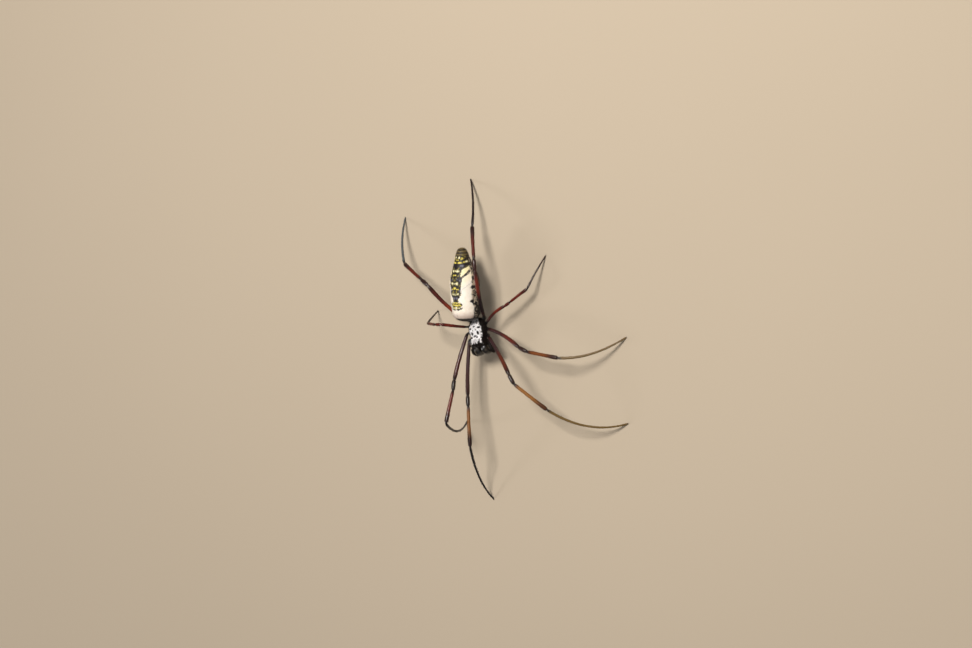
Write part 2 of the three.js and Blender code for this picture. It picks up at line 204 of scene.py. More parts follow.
def follow(stops, value):
    return np.interp(value, [stop[0] for stop in stops], [stop[1] for stop in stops])


def roundOff(distance, length, power):
    return np.sqrt(np.clip(1 - np.clip(1 - distance / length, 0, 1) ** power, 0, 1))


def unit(vectors):
    return vectors / np.linalg.norm(vectors, axis=-1, keepdims=True)


# Normals turned to the side that out points to
def facing(normals, out):
    return normals * np.sign(np.sum(normals * out, -1, keepdims=True))


def halfTurn(count, margin=0.05):
    return np.linspace(margin, math.pi - margin, count)


# Steps from 0 to 1, closer to one another at the ends
def denseEnds(count, margin):
    return 0.5 - 0.5 * np.cos(halfTurn(count, margin))


def heading(pair):
    turn, rise = np.radians(pair)
    return np.array([math.cos(turn) * math.cos(rise), math.sin(turn) * math.cos(rise), math.sin(rise)])


def turned(axis, degrees):
    return np.array(Matrix.Rotation(math.radians(degrees), 3, axis))


def pathLength(path):
    return float(np.linalg.norm(np.diff(path, axis=0), axis=1).sum())


# Points at given distances from a path's start
def walk(path, distances):
    steps = np.linalg.norm(np.diff(path, axis=0), axis=1)
    total = np.concatenate([[0], np.cumsum(steps)])
    return np.stack([np.interp(distances, total, path[:, k]) for k in range(3)], -1)


def smoothPath(points, count=40):
    points = np.array(points, float)
    ends = np.concatenate([[2 * points[0] - points[1]], points, [2 * points[-1] - points[-2]]])
    t = np.linspace(0, 1, count, endpoint=False)[:, None]
    pieces = []
    for a, b, c, d in zip(ends, ends[1:], ends[2:], ends[3:]):
        bend = (2 * a - 5 * b + 4 * c - d) * t ** 2 + (3 * b - a - 3 * c + d) * t ** 3
        pieces.append(b + 0.5 * ((c - a) * t + bend))
    return np.concatenate([*pieces, points[-1:]])


# Bent by one shift at mid-length, and by another near its end
def bowedPath(start, end, bow, curl=(0, 0, 0), count=240):
    bent = np.array(bow) * 4 / 3
    near = start + (end - start) / 3 + bent
    far = start + (end - start) * 2 / 3 + bent + np.array(curl)
    t = np.linspace(0, 1, count)[:, None]
    return start * (1 - t) ** 3 + 3 * near * t * (1 - t) ** 2 + 3 * far * t ** 2 * (1 - t) + end * t ** 3


# Meshes

def closedFaces(count, sides):
    index = np.arange(count * sides).reshape(count, sides)
    beside = np.roll(index, -1, 1)
    quads = np.stack([index[:-1], beside[:-1], beside[1:], index[1:]], -1).reshape(-1, 4)
    first = np.stack([np.full(sides, count * sides), beside[0], index[0]], -1)
    last = np.stack([np.full(sides, count * sides + 1), index[-1], beside[-1]], -1)
    return [*quads.tolist(), *first.tolist(), *last.tolist()]


# Values on rings, with one more for the middle of each end
def closedValues(rings):
    return np.concatenate([rings.reshape(-1, rings.shape[-1]), rings[:1].mean(1), rings[-1:].mean(1)])


def outward(points, faces):
    corners = points[[face[:3] for face in faces]]
    volume = np.einsum("ij,ij->i", corners[:, 0], np.cross(corners[:, 1], corners[:, 2])).sum()
    return faces if volume > 0 else [face[::-1] for face in faces]


# place is three numbers for each point, which the materials read.
def makePiece(name, points, faces, material, replaced, place):
    points = np.clip(points, *cadReach)
    mesh = bpy.data.meshes.new(name)
    mesh.from_pydata(((points + shift) * mm).tolist(), [], faces)
    mesh.polygons.foreach_set("use_smooth", np.ones(len(mesh.polygons), bool))
    layer = mesh.attributes.new("place", "FLOAT_VECTOR", "POINT")
    layer.data.foreach_set("vector", np.ascontiguousarray(place, np.float32).ravel())
    mesh.materials.append(material)
    piece = bpy.data.objects.new(name, mesh)
    bpy.context.scene.collection.objects.link(piece)
    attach(piece, "root")
    if replaced:
        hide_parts(*replaced)
    return piece


def makeSkin(name, rings, place, material, replaced):
    points = closedValues(rings)
    faces = outward(points, closedFaces(*rings.shape[:2]))
    return makePiece(name, points, faces, material, replaced, closedValues(place))


# Several closed forms as one piece
def joined(forms):
    points = []
    faces = []
    count = 0
    for rings in forms:
        made = closedValues(rings)
        faces += [[corner + count for corner in face] for face in outward(
            made - made.mean(0), closedFaces(*rings.shape[:2]))]
        points.append(made)
        count += len(made)
    return np.concatenate(points), faces


# Directions across and over each point of a line, turning as little as they can
def carried(centres, up):
    tangents = unit(np.gradient(centres, axis=0))
    across = unit(np.cross(tangents[0], up))
    rows = []
    for tangent in tangents:
        across = unit(across - tangent * (across @ tangent))
        rows.append(across)
    across = np.array(rows)
    return tangents, across, np.cross(across, tangents)


def tube(centres, radii, sides, flat=1.0, up=(0, 0, 1)):
    _, across, over = carried(centres, up)
    turn = np.linspace(0, 2 * math.pi, sides, endpoint=False)
    radii = np.reshape(radii, (-1, 1, 1))
    flat = np.reshape(flat, (-1, 1, 1)) * np.ones((len(centres), 1, 1))
    wide = np.cos(turn)[None, :, None] * across[:, None] * flat
    return centres[:, None] + radii * (wide + np.sin(turn)[None, :, None] * over[:, None])


# Closed, curved spikes or blades, each seven points, rooted just under the skin. The two spans
# vary length and lift, and the shares shape the middle and the tip. flat is the shape of a tuft
# on the flat map, and nudge parts the tufts there.
tuft = {
    "faces": [(2, 1, 0), (0, 1, 4, 3), (1, 2, 5, 4), (2, 0, 3, 5), (3, 4, 6), (4, 5, 6), (5, 3, 6)],
    "flat": [(-1, -1), (1, -1), (0, -0.8), (-0.8, 0), (0.8, 0), (0, 0.2), (0, 1)],
    "flatSize": 0.0015, "nudge": 0.002, "lengthSpan": (0.65, 1.2), "liftSpan": (0.6, 1.4),
    "middle": 0.55, "arch": 0.06, "middleWidth": 0.75, "tipRise": 0.75, "tipWay": 0.5,
}


def makeTufts(name, coat, roots, normals, ways, material, slot, place, spots):
    count, corners = len(roots), len(tuft["flat"])
    ways = unit(ways - normals * np.sum(ways * normals, -1, keepdims=True))
    ways = unit(ways + coat["scatter"] * draw.normal(size=(count, 3)))
    length = (coat["length"] * draw.uniform(*tuft["lengthSpan"], count))[:, None]
    lift = np.radians(coat["lift"] * draw.uniform(*tuft["liftSpan"], count))[:, None]
    across = unit(np.cross(ways, normals))
    rise = unit(ways * np.cos(lift) + normals * np.sin(lift))
    over = unit(np.cross(across, rise))
    wide = across * coat["width"] / 2
    thick = over * coat["thickness"] / 2
    waist = wide * tuft["middleWidth"]
    base = roots - normals * coat["thickness"]
    middle = base + rise * length * tuft["middle"] + normals * length * tuft["arch"]
    tip = base + unit(rise * tuft["tipRise"] + ways * tuft["tipWay"]) * length
    points = np.stack([
        base - wide - thick, base + wide - thick, base + thick,
        middle - waist - thick, middle + waist - thick, middle + thick, tip,
    ], 1)
    inside = np.all((points > cadReach[0]) & (points < cadReach[1]), axis=(1, 2))
    points, place, spots = points[inside], place[inside], spots[inside]
    starts = np.arange(len(points)) * corners
    faces = [[corner + start for corner in face] for start in starts.tolist() for face in tuft["faces"]]
    place = np.repeat(place, corners, 0)
    made = makePiece(name, points.reshape(-1, 3), faces, material, (), place)
    layer = made.data.uv_layers.new(name="OFBake")
    used = np.zeros(len(made.data.loops), np.int32)
    made.data.loops.foreach_get("vertex_index", used)
    flatPlaces = spots[:, None] + np.array(tuft["flat"]) * tuft["flatSize"]
    layer.data.foreach_set("uv", flatPlaces.reshape(-1, 2)[used].astype(np.float32).ravel())


hairRough = 0.5


# Hair over a tube. t runs along it and is the first number that the material reads.
def makeTubeHair(name, centres, radii, t, coat, material, slot, up=(0, 0, 1)):
    tangents, across, over = carried(centres, up)
    steps = np.linalg.norm(np.gradient(centres, axis=0), axis=1)
    density = coat["density"] * steps
    count = int(density.sum())
    ring = draw.choice(len(centres), count, p=density / density.sum())
    angle = draw.uniform(0, 2 * math.pi, count)
    normals = np.cos(angle)[:, None] * across[ring] + np.sin(angle)[:, None] * over[ring]
    slide = draw.uniform(-0.5, 0.5, count)[:, None] * steps[ring, None]
    roots = centres[ring] + normals * radii[ring, None] + tangents[ring] * slide
    place = np.repeat(t[ring, None], 3, 1)
    along = (t[ring] + draw.uniform(0, tuft["nudge"], count)) / t.max()
    spots = np.stack([along, angle / (2 * math.pi)], -1)
    coat = {**coat, "length": np.broadcast_to(coat["length"], t.shape)[ring]}
    makeTufts(name, coat, roots, normals, tangents[ring], material, slot, place, spots)


# The head and thorax, before they are tipped up at the front
thorax = {
    "rear": 3.4, "front": -6.3, "width": 6.9, "headWidth": 5.7, "neck": -3.2,
    "top": 10.6, "headTop": 11.5, "sternum": 6.3, "rim": 8.2,
    "lift": 8, "pivot": 8.2,
    "rings": 190, "sides": 190,
    "widest": -0.4, "halfLength": 4.3, "neckSide": 1.2, "neckTop": 1,
    "underTaper": 0.2, "underEdges": (0, -0.8),
    "neckDip": (0.22, 0.7),   # depth and half length
    # How much each end narrows, falls or rises, and where that starts
    "headTaper": (0.1, -5), "rearTop": (0.6, 0.2), "brow": (0.6, -4.9),
    "rearBottom": (0.75, 2.2), "chin": (0.9, -4.6),
    # Length and power of the rounding at each end
    "rearRound": (0.5, 2.4), "frontRound": (0.42, 2.6),
    # Where the down is bare, on both sides: middle and half sizes, the first also the pit's place
    "bareSpots": [
        (0.0, 0.55, 0.58, 0.36), (1.7, 0.05, 0.56, 0.42), (0.95, 1.5, 0.26, 0.34), (1.15, -1.65, 0.46, 0.72),
        (2.35, -1.6, 0.34, 0.28), (2.3, -3.3, 0.56, 0.38), (1.0, -3.1, 0.34, 0.34), (0.35, -2.6, 0.24, 0.46),
        (1.5, -4.85, 0.38, 0.6), (0.4, -5.0, 0.3, 0.36), (2.05, -2.55, 0.26, 0.24), (0.65, -0.6, 0.22, 0.28),
        (1.9, 1.2, 0.26, 0.32), (1.6, -4.0, 0.2, 0.28), (0.5, 2.3, 0.2, 0.3),
    ],
    # Rounded forms on either side: middle, direction, height and half sizes
    "mounds": [
        ((0, -6.3, 8.75), (0, -1, -0.1), 0.6, (1.7, 1.0, 0.8)),
        ((2.3, -5.8, 9.85), (0.7, -0.7, 0.1), 0.3, (0.5, 0.5, 0.55)),
        ((0, -6.2, 10.45), (0, -0.9, 0.45), 0.16, (0.95, 0.8, 0.75)),
        ((1.0, -3.1, 10.75), (0, 0, 1), 0.85, (0.27, 0.27, 2.0)),
        ((0.95, -4.8, 6.2), (0, 0, -1), 0.4, (0.6, 1.1, 0.8)),
    ],
    "shell": (0.004, 0.0035, 0.0035), "shellBrown": (0.014, 0.009, 0.007),
    "down": (0.97, 0.955, 0.955), "downShade": (0.42, 0.39, 0.42), "downWarm": (0.74, 0.67, 0.64),
    "shadeEdges": (0.32, 0.46), "warmEdges": (0.5, 0.75), "warmShare": 0.6,
    "shellRough": 0.42, "downRough": 0.7, "shellShine": 0.08, "downShine": 0.15,
    # The flat map of the coats: the corner that it starts from, and its size
    "flatFrom": (-4, -7), "flatSize": (8, 11),
}
thoraxTurn = turned("X", -thorax["lift"])


def tipped(points):
    pivot = np.array([0, 0, thorax["pivot"]])
    return (points - pivot) @ thoraxTurn.T + pivot


def thoraxHalfWidth(y):
    reach = (y - thorax["widest"]) / thorax["halfLength"]
    back = thorax["width"] / 2 * np.sqrt(np.clip(1 - reach ** 2, 0, 1))
    taper, start = thorax["headTaper"]
    head = thorax["headWidth"] / 2 * (1 - taper * ease(start, thorax["front"], y))
    blend = thorax["neckSide"]
    return back + (head - back) * ease(thorax["neck"] + blend, thorax["neck"] - blend, y)


def thoraxTop(y):
    above, start = thorax["rearTop"]
    rear = thorax["top"] + (thorax["rim"] + above - thorax["top"]) * ease(start, thorax["rear"], y)
    fall, start = thorax["brow"]
    head = thorax["headTop"] - fall * ease(start, thorax["front"], y)
    depth, half = thorax["neckDip"]
    dip = depth * np.exp(-(((y - thorax["neck"]) / half) ** 2))
    blend = thorax["neckTop"]
    return rear + (head - rear) * ease(thorax["neck"] + blend, thorax["neck"] - blend, y) - dip


def thoraxBottom(y):
    below, start = thorax["rearBottom"]
    rear = (thorax["rim"] - below - thorax["sternum"]) * ease(start, thorax["rear"], y)
    rise, start = thorax["chin"]
    return thorax["sternum"] + rear + rise * ease(start, thorax["front"], y)


# Fine forms of the surface. Each starts with its depth or height, and a pair is where it fades.
relief = {
    "above": (-0.02, 0.25),   # pits and grooves lie over the rim
    "pit": (0.28, 0.5, 0.22),   # half width, half length
    "rays": (0.07, 7.5, 8),   # waves round the pit, sharpness
    "rayInner": (0.5, 1.3), "rayOuter": (3.6, 2.6), "rayFront": (-3, -1.8),
    "groove": (0.16, 1.1, 0.95, 0.28), "grooveSide": (0.2, 0.8),   # place, slant, half width
    "rim": (0.1, 0.02, 0.09),   # level, half width
    "plates": (0.05, 2.6, 0.6), "plateSide": (-0.05, -0.5),   # waves along the sternum, their start
}


# How far the surface stands out from its plain form
def thoraxRelief(x, y, s):
    foveaX, foveaY = thorax["bareSpots"][0][:2]
    depth, wide, long = relief["pit"]
    pit = -depth * np.exp(-((x - foveaX) / wide) ** 2 - ((y - foveaY) / long) ** 2)
    depth, count, power = relief["rays"]
    far = np.hypot(x, y - foveaY)
    rays = -depth * np.cos(np.arctan2(np.abs(x), y - foveaY) * count) ** power
    rays = rays * ease(*relief["rayInner"], far) * ease(*relief["rayOuter"], far)
    rays = rays * ease(*relief["rayFront"], y)
    depth, start, slant, half = relief["groove"]
    groove = -depth * np.exp(-((y + start + slant * np.abs(x)) / half) ** 2)
    groove = groove * ease(*relief["grooveSide"], np.abs(x))
    height, level, half = relief["rim"]
    rim = height * np.exp(-((s - level) / half) ** 2)
    height, turns, start = relief["plates"]
    plates = height * np.cos(y * turns + start) * ease(*relief["plateSide"], s)
    return ease(*relief["above"], s) * (pit + rays + groove) + rim + plates


def mounded(points):
    out = points.copy()
    for middle, way, height, sizes in thorax["mounds"]:
        for side in ((1, -1) if middle[0] else (1,)):
            flip = np.array([side, 1, 1])
            reach = np.linalg.norm((points - middle * flip) / sizes, axis=-1, keepdims=True)
            out += unit(np.array(way, float)) * flip * height * np.exp(-reach ** 2)
    return out


def thoraxSurface(y, turn):
    c, s = np.cos(turn), np.sin(turn)
    top, bottom, rim = thoraxTop(y), thoraxBottom(y), thorax["rim"]
    rear = roundOff(thorax["rear"] - y, *thorax["rearRound"])
    edge = rear * roundOff(y - thorax["front"], *thorax["frontRound"])
    x = thoraxHalfWidth(y) * c * (1 - thorax["underTaper"] * ease(*thorax["underEdges"], s))
    z = rim + np.where(s > 0, (top - rim) * s, (rim - bottom) * s)
    out = thoraxRelief(x, y, s) * edge
    middle = (top + bottom) / 2
    x = x * edge + out * c
    z = middle + (z - middle) * edge + out * s
    return mounded(np.stack([x, np.broadcast_to(y, x.shape), z], -1))


# The place and the unit normal at two numbers of a surface
def spread(surface, first, second, step=0.01):
    here = surface(first, second)
    one = surface(first + step, second) - here
    two = surface(first, second + step) - here
    return here, unit(np.cross(one, two))


# Eyes of one side, and how far they stand out from the head
eyes = {
    "places": [(0.48, -6.25, 10.0), (0.55, -5.95, 10.8), (2.25, -6.0, 9.7), (2.45, -5.6, 10.25)],
    "radius": 0.26, "out": 0.03, "flat": 0.9, "rings": 20, "sides": 28, "headMiddle": (0, -4.2, 9.0),
    "black": (0.004, 0.004, 0.005), "brown": (0.03, 0.014, 0.006), "brownEdges": (0.4, 0.8),
    "rough": 0.05, "coat": 0.5, "coatRough": 0.03,
}
eyePlaces = {
    f"eye_{mark}{i + 1}": tipped(np.array([side * x, y, z]))
    for mark, side in (("l", 1), ("r", -1)) for i, (x, y, z) in enumerate(eyes["places"])
}

# The frame's own place: from the first eye's middle, with the floor at the same height
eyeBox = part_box("eye_l1")
shift = np.array((eyeBox[0] + eyeBox[1]) / 2) / mm - eyePlaces["eye_l1"]
shift[2] = 0
cadReach = [np.array(corner) / mm - shift for corner in cadBox]
print("frame shift, mm:", shift.round(3).tolist())


# Where the silver down lies: its half width at each y, then where its borders start and end
silver = {
    "edge": [(-5.2, 2.2), (-3.2, 2.1), (-2.2, 2.4), (0.0, 2.4), (1.2, 1.9), (2.2, 1.4), (3.2, 0.8)],
    "front": (-5.2, -4.9), "rear": (3.2, 2.9), "aboveRim": (0.2, 0.4), "spotRim": (0.8, 1.1),
    "soft": 0.12, "ragged": 0.7, "raggedFront": 1.2,
}
silverLow, silverHigh = [thorax["rim"] + height for height in silver["aboveRim"]]


# 1 inside, 0 on bare black shell
def silverCover(x, y, z, rough):
    side = np.abs(x) + rough * silver["ragged"]
    cover = ease(silver["soft"], -silver["soft"], side - follow(silver["edge"], y))
    cover *= ease(*silver["front"], y + rough * silver["raggedFront"])
    cover *= ease(*silver["rear"], y) * ease(silverLow, silverHigh, z)
    for spotX, spotY, wide, long in thorax["bareSpots"]:
        cover *= ease(*silver["spotRim"], np.hypot((side - spotX) / wide, (y - spotY) / long))
    return cover


# The same cover in nodes
def silverNodes(shader, point):
    x, y, z = shader.place()
    rough = shader.noise(point, scale=1.6, detail=4) - 0.5
    side = abs(x) + rough * silver["ragged"]
    first, last = silver["edge"][0][0], silver["edge"][-1][0]
    widest = max(edge for _, edge in silver["edge"])
    stops = [((place - first) / (last - first), edge / widest) for place, edge in silver["edge"]]
    edge = shader.ramp((y - first) / (last - first), stops) * widest
    cover = shader.ease(side - edge, silver["soft"], -silver["soft"])
    cover = cover * shader.ease(y + rough * silver["raggedFront"], *silver["front"])
    cover = cover * shader.ease(y, *silver["rear"]) * shader.ease(z, silverLow, silverHigh)
    return cover * shader.ease(shader.nearest(side, y, thorax["bareSpots"]), *silver["spotRim"])


def carapaceMaterial(name, coat):
    shader = Shader(name)
    point = shader.point()
    cover = silverNodes(shader, point)
    fine = shader.noise(point, scale=9.0, detail=3)
    patch = shader.noise(point, scale=2.2, detail=3, rough=0.6)
    broad = shader.noise(point, scale=0.8, detail=2)
    shell = shader.mix(broad, thorax["shell"], thorax["shellBrown"])
    down = shader.mix(shader.ease(patch, *thorax["shadeEdges"]), thorax["downShade"], thorax["down"])
    warm = shader.ease(broad, *thorax["warmEdges"]) * thorax["warmShare"]
    down = shader.mix(warm, down, thorax["downWarm"])
    color = shader.mix(cover, shell, down)
    if coat:
        return shader.finish(color, hairRough, shader.bump(fine, 0.01), thorax["downShine"])
    grain = shader.cells(point, scale=9.0)
    normal = shader.bump(grain, 0.012, 0.5, shader.bump(fine, 0.025, 0.5))
    roughness = shader.ramp(cover, [(0.0, thorax["shellRough"]), (1.0, thorax["downRough"])])
    return shader.finish(color, roughness, normal, thorax["shellShine"])


# Coats of the thorax: their count, the y and the turn past each side that they are drawn from,
# and the way that they lie, with fan for how much it opens to the sides
downCoat = {
    "length": 0.42, "width": 0.06, "thickness": 0.024, "lift": 10, "scatter": 0.2,
    "count": 17000, "along": (-5.3, 3.2), "past": -0.1, "fan": 0.12, "rise": 0,
    "ragged": 0.12, "kept": (0.3, 0.7),
}
bristleCoat = {
    "length": 0.34, "width": 0.022, "thickness": 0.018, "lift": 42, "scatter": 0.25,
    "count": 5200, "along": (-6.1, 3.0), "past": 0.5, "fan": 0, "rise": 0.1, "kept": 0.2,
}


def downGrows(here):
    rough = draw.uniform(-downCoat["ragged"], downCoat["ragged"], len(here))
    return silverCover(*here.T, rough) > draw.uniform(*downCoat["kept"], len(here))


def bristleGrows(here):
    return silverCover(*here.T, 0.0) < bristleCoat["kept"]


def makeThoraxCoat(name, coat, grows, material):
    y = draw.uniform(*coat["along"], coat["count"])
    turn = draw.uniform(-coat["past"], math.pi + coat["past"], coat["count"])
    here, normals = spread(thoraxSurface, y, turn)
    kept = grows(here)
    here, normals = here[kept], normals[kept]
    middle = here * (0, 1, 0) + (0, 0, thorax["rim"])
    normals = facing(normals, here - middle)
    ones = np.ones(len(here))
    ways = np.stack([here[:, 0] * coat["fan"], -ones, ones * coat["rise"]], -1)
    spots = (here[:, :2] - thorax["flatFrom"]) / thorax["flatSize"]
    turnedOut = [tipped(here), normals @ thoraxTurn.T, ways @ thoraxTurn.T]
    makeTufts(name, coat, *turnedOut, material, "carapace", here, spots)


def makeCephalothorax():
    margin = 0.001
    rear, front = thorax["rear"] - margin, thorax["front"] + margin
    y = rear - (rear - front) / 2 * (1 - np.cos(np.linspace(0, math.pi, thorax["rings"])))
    turn = np.linspace(0, 2 * math.pi, thorax["sides"], endpoint=False)
    plain = thoraxSurface(y[:, None], turn[None])
    shell = carapaceMaterial("carapaceShell", False)
    makeSkin("cephalothoraxSkin", tipped(plain), plain, shell, ["cephalothorax"])
    material = carapaceMaterial("carapaceDown", True)
    makeThoraxCoat("carapaceDown", downCoat, downGrows, material)
    makeThoraxCoat("carapaceBristles", bristleCoat, bristleGrows, material)


# Paths and half thickness of the mouth's parts on the left side, before the tilt
jaws = {
    "path": [(1.36, -5.75, 8.42), (1.5, -7.2, 8.35), (1.58, -7.85, 7.0), (1.45, -7.15, 4.9)],
    "girth": [(0, 1.0), (0.15, 1.24), (0.38, 1.3), (0.7, 1.12), (0.92, 0.82), (1, 0.6)],
    "rings": 70, "sides": 48, "tip": 0.4, "shorter": 0.08, "up": (0, -1, 0),
    "hair": {"density": 60, "length": 0.3, "width": 0.022, "thickness": 0.018, "lift": 38, "scatter": 0.2},
    # brown is partly the jaws' own dark brown and partly a painted reflection of brown surroundings
    "black": (0.004, 0.003, 0.003), "brown": (0.05, 0.032, 0.012), "brownEdges": (0.5, 0.8),
    "rough": 0.32, "roughSpan": 0.1, "shine": 0.35, "coat": 0.6, "coatRough": 0.15,
}
fangs = {
    "path": [(1.40, -7.10, 5.0), (1.3, -6.90, 4.1), (0.9, -6.15, 3.75), (0.4, -5.5, 3.95)],
    "girth": [(0, 0.44), (0.3, 0.38), (0.7, 0.24), (1, 0.1)],
    "rings": 34, "sides": 20, "tip": 0.3, "up": (0, 0, 1),
}
palps = {
    "path": [(2.1, -4.4, 7.2), (3.4, -5.9, 7.9), (3.75, -7.3, 8.0), (3.5, -8.2, 6.7), (3.05, -8.35, 5.2)],
    "girth": [(0, 0.45), (0.15, 0.6), (0.4, 0.66), (0.5, 0.56), (0.72, 0.66), (0.9, 0.52), (1, 0.24)],
    "joints": [0.12, 0.38, 0.5, 0.68], "jointDepth": 0.26, "jointHalf": 0.13,
    "rings": 120, "sides": 28, "tip": 0.3, "up": (0, 0, 1),
    "hair": {"density": 75, "length": 0.45, "width": 0.03, "thickness": 0.024, "lift": 34, "scatter": 0.2},
}
mouthHairStart = (0.1, 0.25)   # shares of the length between which the hair begins


# Gloss black shell of jaws and claws, with brown patches that are partly their own dark brown and partly a
# painted reflection of brown surroundings
def jawMaterial():
    shader = Shader("jawShell")
    point = shader.point()
    broad = shader.noise(point, scale=0.8, detail=2)
    fine = shader.noise(point, scale=6.0, detail=3)
    color = shader.mix(shader.ease(broad, *jaws["brownEdges"]), jaws["black"], jaws["brown"])
    roughness = fine * jaws["roughSpan"] + jaws["rough"]
    normal = shader.bump(fine, 0.03, 0.5)
    return shader.finish(color, roughness, normal, jaws["shine"], jaws["coat"], jaws["coatRough"])


# A rounded line through plain stops
def rounded(stops, t, count=200, window=15):
    dense = np.linspace(0, 1, count)
    kernel = np.hanning(window)
    padded = np.pad(follow(stops, dense), window // 2, mode="edge")
    return np.interp(t, dense, np.convolve(padded, kernel / kernel.sum(), "valid"))


def makeMouthPart(form, side, name, material, slot, node, hair=None):
    path = smoothPath([(side * x, y, z) for x, y, z in form["path"]])
    total = pathLength(path) - form.get("shorter", 0)
    t = denseEnds(form["rings"], margin=0.02)
    radii = rounded(form["girth"], t) * roundOff((1 - t) * total, form["tip"], 2)
    for joint in form.get("joints", []):
        near = np.exp(-((t - joint) * total / form["jointHalf"]) ** 2)
        radii = radii * (1 - form["jointDepth"] * near)
    centres = tipped(walk(path, t * total))
    up = thoraxTurn @ form["up"]
    shape = tube(centres, radii, form["sides"], 1.0, up)
    place = np.broadcast_to(t[:, None, None], shape.shape)
    makeSkin(name, shape, place, material, [node])
    if hair:
        coat = {**form["hair"], "density": form["hair"]["density"] * ease(*mouthHairStart, t)}
        makeTubeHair(f"{node}_hair", centres, radii, t, coat, hair, slot, up)


def makeMouth(jawShell, palpShell):
    for side, mark in ((1, "left"), (-1, "right")):
        makeMouthPart(jaws, side, f"chelicera_{mark}_shell", jawShell, "jaw", f"chelicera_{mark}", jawShell)
        makeMouthPart(fangs, side, f"fang_{mark}_shell", jawShell, "jaw", f"fang_{mark}")
        makeMouthPart(palps, side, f"palp_{mark}_skin", palpShell, "coxa", f"palp_{mark}", palpShell)


def eyeMaterial():
    shader = Shader("eyeLens")
    cloud = shader.noise(shader.point(), scale=3.0, detail=2)
    color = shader.mix(shader.ease(cloud, *eyes["brownEdges"]), eyes["black"], eyes["brown"])
    coat, coatRough = eyes["coat"], eyes["coatRough"]
    return shader.finish(color, eyes["rough"], shader.bump(cloud, 0.002), coat=coat, coatRough=coatRough)


def makeEyes():
    lens = eyeMaterial()
    for name, centre in eyePlaces.items():
        out = unit(centre - tipped(np.array(eyes["headMiddle"])))
        centre = centre + out * eyes["out"]
        turn = halfTurn(eyes["rings"])
        path = centre + np.cos(turn)[:, None] * out * eyes["radius"] * eyes["flat"]
        shape = tube(path, np.sin(turn) * eyes["radius"], eyes["sides"])
        makeSkin(f"{name}_lens", shape, shape, lens, [name])


# The abdomen, along its own axis from the blunt front to the tail
abdomen = {
    "front": (-1.05, 3.0, 11.8), "yaw": 11, "dip": 3,
    "length": 24.4, "width": 9.5, "depth": 9.8,
    "shoulder": 3.6, "tailStart": 12.9, "tailTip": 3.2, "tailTipRadius": 2.0, "tailRise": 0.6,
    "shoulderPower": 2.3, "tailPower": 2.2, "tailEven": 1.2,   # the last is of one girth
    "frontTaper": 0.05, "taperFrom": 8, "taperTo": 2,
    "spinnerets": 17.2,
    "backTurn": -8,   # the pattern's midline is rolled away from the camera, degrees
    "rings": 260, "sides": 220,
    "hair": {"length": 0.34, "width": 0.026, "thickness": 0.022, "lift": 34, "scatter": 0.25},
    "hairs": 9000, "hairMargin": 0.3,
    "rough": 0.4, "roughSpan": 0.2, "shine": 0.35, "hairShine": 0.3,
}
abdomenTurn = turned("Z", -abdomen["yaw"]) @ turned("X", -abdomen["dip"])


def abdomenPlaced(points):
    return points @ abdomenTurn.T + np.array(abdomen["front"])


def abdomenHalf(s):
    barrel = 1 - abdomen["frontTaper"] * ease(abdomen["taperFrom"], abdomen["taperTo"], s)
    tail = 2 * abdomen["tailTipRadius"] / abdomen["width"]
    narrows = ease(abdomen["tailStart"], abdomen["length"] - abdomen["tailEven"], s)
    front = roundOff(s, abdomen["shoulder"], abdomen["shoulderPower"])
    rear = roundOff(abdomen["length"] - s, abdomen["tailTip"], abdomen["tailPower"])
    return (barrel + (tail - barrel) * narrows) * front * rear


def abdomenLift(s):
    return abdomen["tailRise"] * ease(abdomen["tailStart"], abdomen["length"], s)


# The angle from the back's midline, in degrees, 180 under the belly
def backAngle(turn):
    offset = turn - math.radians(90 - abdomen["backTurn"])
    return np.degrees(np.abs((offset + math.pi) % (2 * math.pi) - math.pi))


# Fine forms of the skin. Each starts with its depth or height, and a pair is where it fades.
# Angles are degrees from the back's midline.
folds = {
    "pits": (5.6, 9.2, 12.4, 15.4), "pit": (0.09, 0.3, 13, 4.5),   # half length, angle, half angle
    "ring": (0.05, 8.2, 0.4, 3), "ringStart": (18.5, 21.5),   # waves along, sway, waves round
    "flank": (0.05, 3.1, 0.07), "flankTop": (60, 80), "flankLow": (140, 110),   # waves along, slant
    "flankFront": (2, 5), "flankRear": (19, 16),
    "lungs": (0.12, 2.6, 1.1, 143, 13),   # place, half length, angle, half angle
    "furrow": (0.14, 4.4, 0.18), "furrowTop": (120, 135),   # place, half length
    "ends": (0.0, 0.6),
}


def abdomenRelief(s, turn):
    a = backAngle(turn)
    out = np.zeros(np.broadcast(s, turn).shape)
    depth, long, middle, wide = folds["pit"]
    for pitS in folds["pits"]:
        out -= depth * np.exp(-((s - pitS) / long) ** 2 - ((a - middle) / wide) ** 2)
    height, turns, wave, waves = folds["ring"]
    out += height * ease(*folds["ringStart"], s) * np.sin(s * turns + wave * np.sin(waves * turn))
    height, turns, slant = folds["flank"]
    flank = ease(*folds["flankTop"], a) * ease(*folds["flankLow"], a)
    flank = flank * ease(*folds["flankFront"], s) * ease(*folds["flankRear"], s)
    out += height * flank * np.sin(s * turns + a * slant)
    height, lungS, long, middle, wide = folds["lungs"]
    out += height * np.exp(-((s - lungS) / long) ** 2 - ((a - middle) / wide) ** 2)
    depth, furrowS, half = folds["furrow"]
    out -= depth * np.exp(-((s - furrowS) / half) ** 2) * ease(*folds["furrowTop"], a)
    return out


def abdomenSurface(s, turn):
    half = abdomenHalf(s)
    out = abdomenRelief(s, turn) * ease(*folds["ends"], half)
    x = np.cos(turn) * (abdomen["width"] / 2 * half + out)
    z = np.sin(turn) * (abdomen["depth"] / 2 * half + out) + abdomenLift(s)
    return np.stack([x, np.broadcast_to(s, x.shape), z], -1)


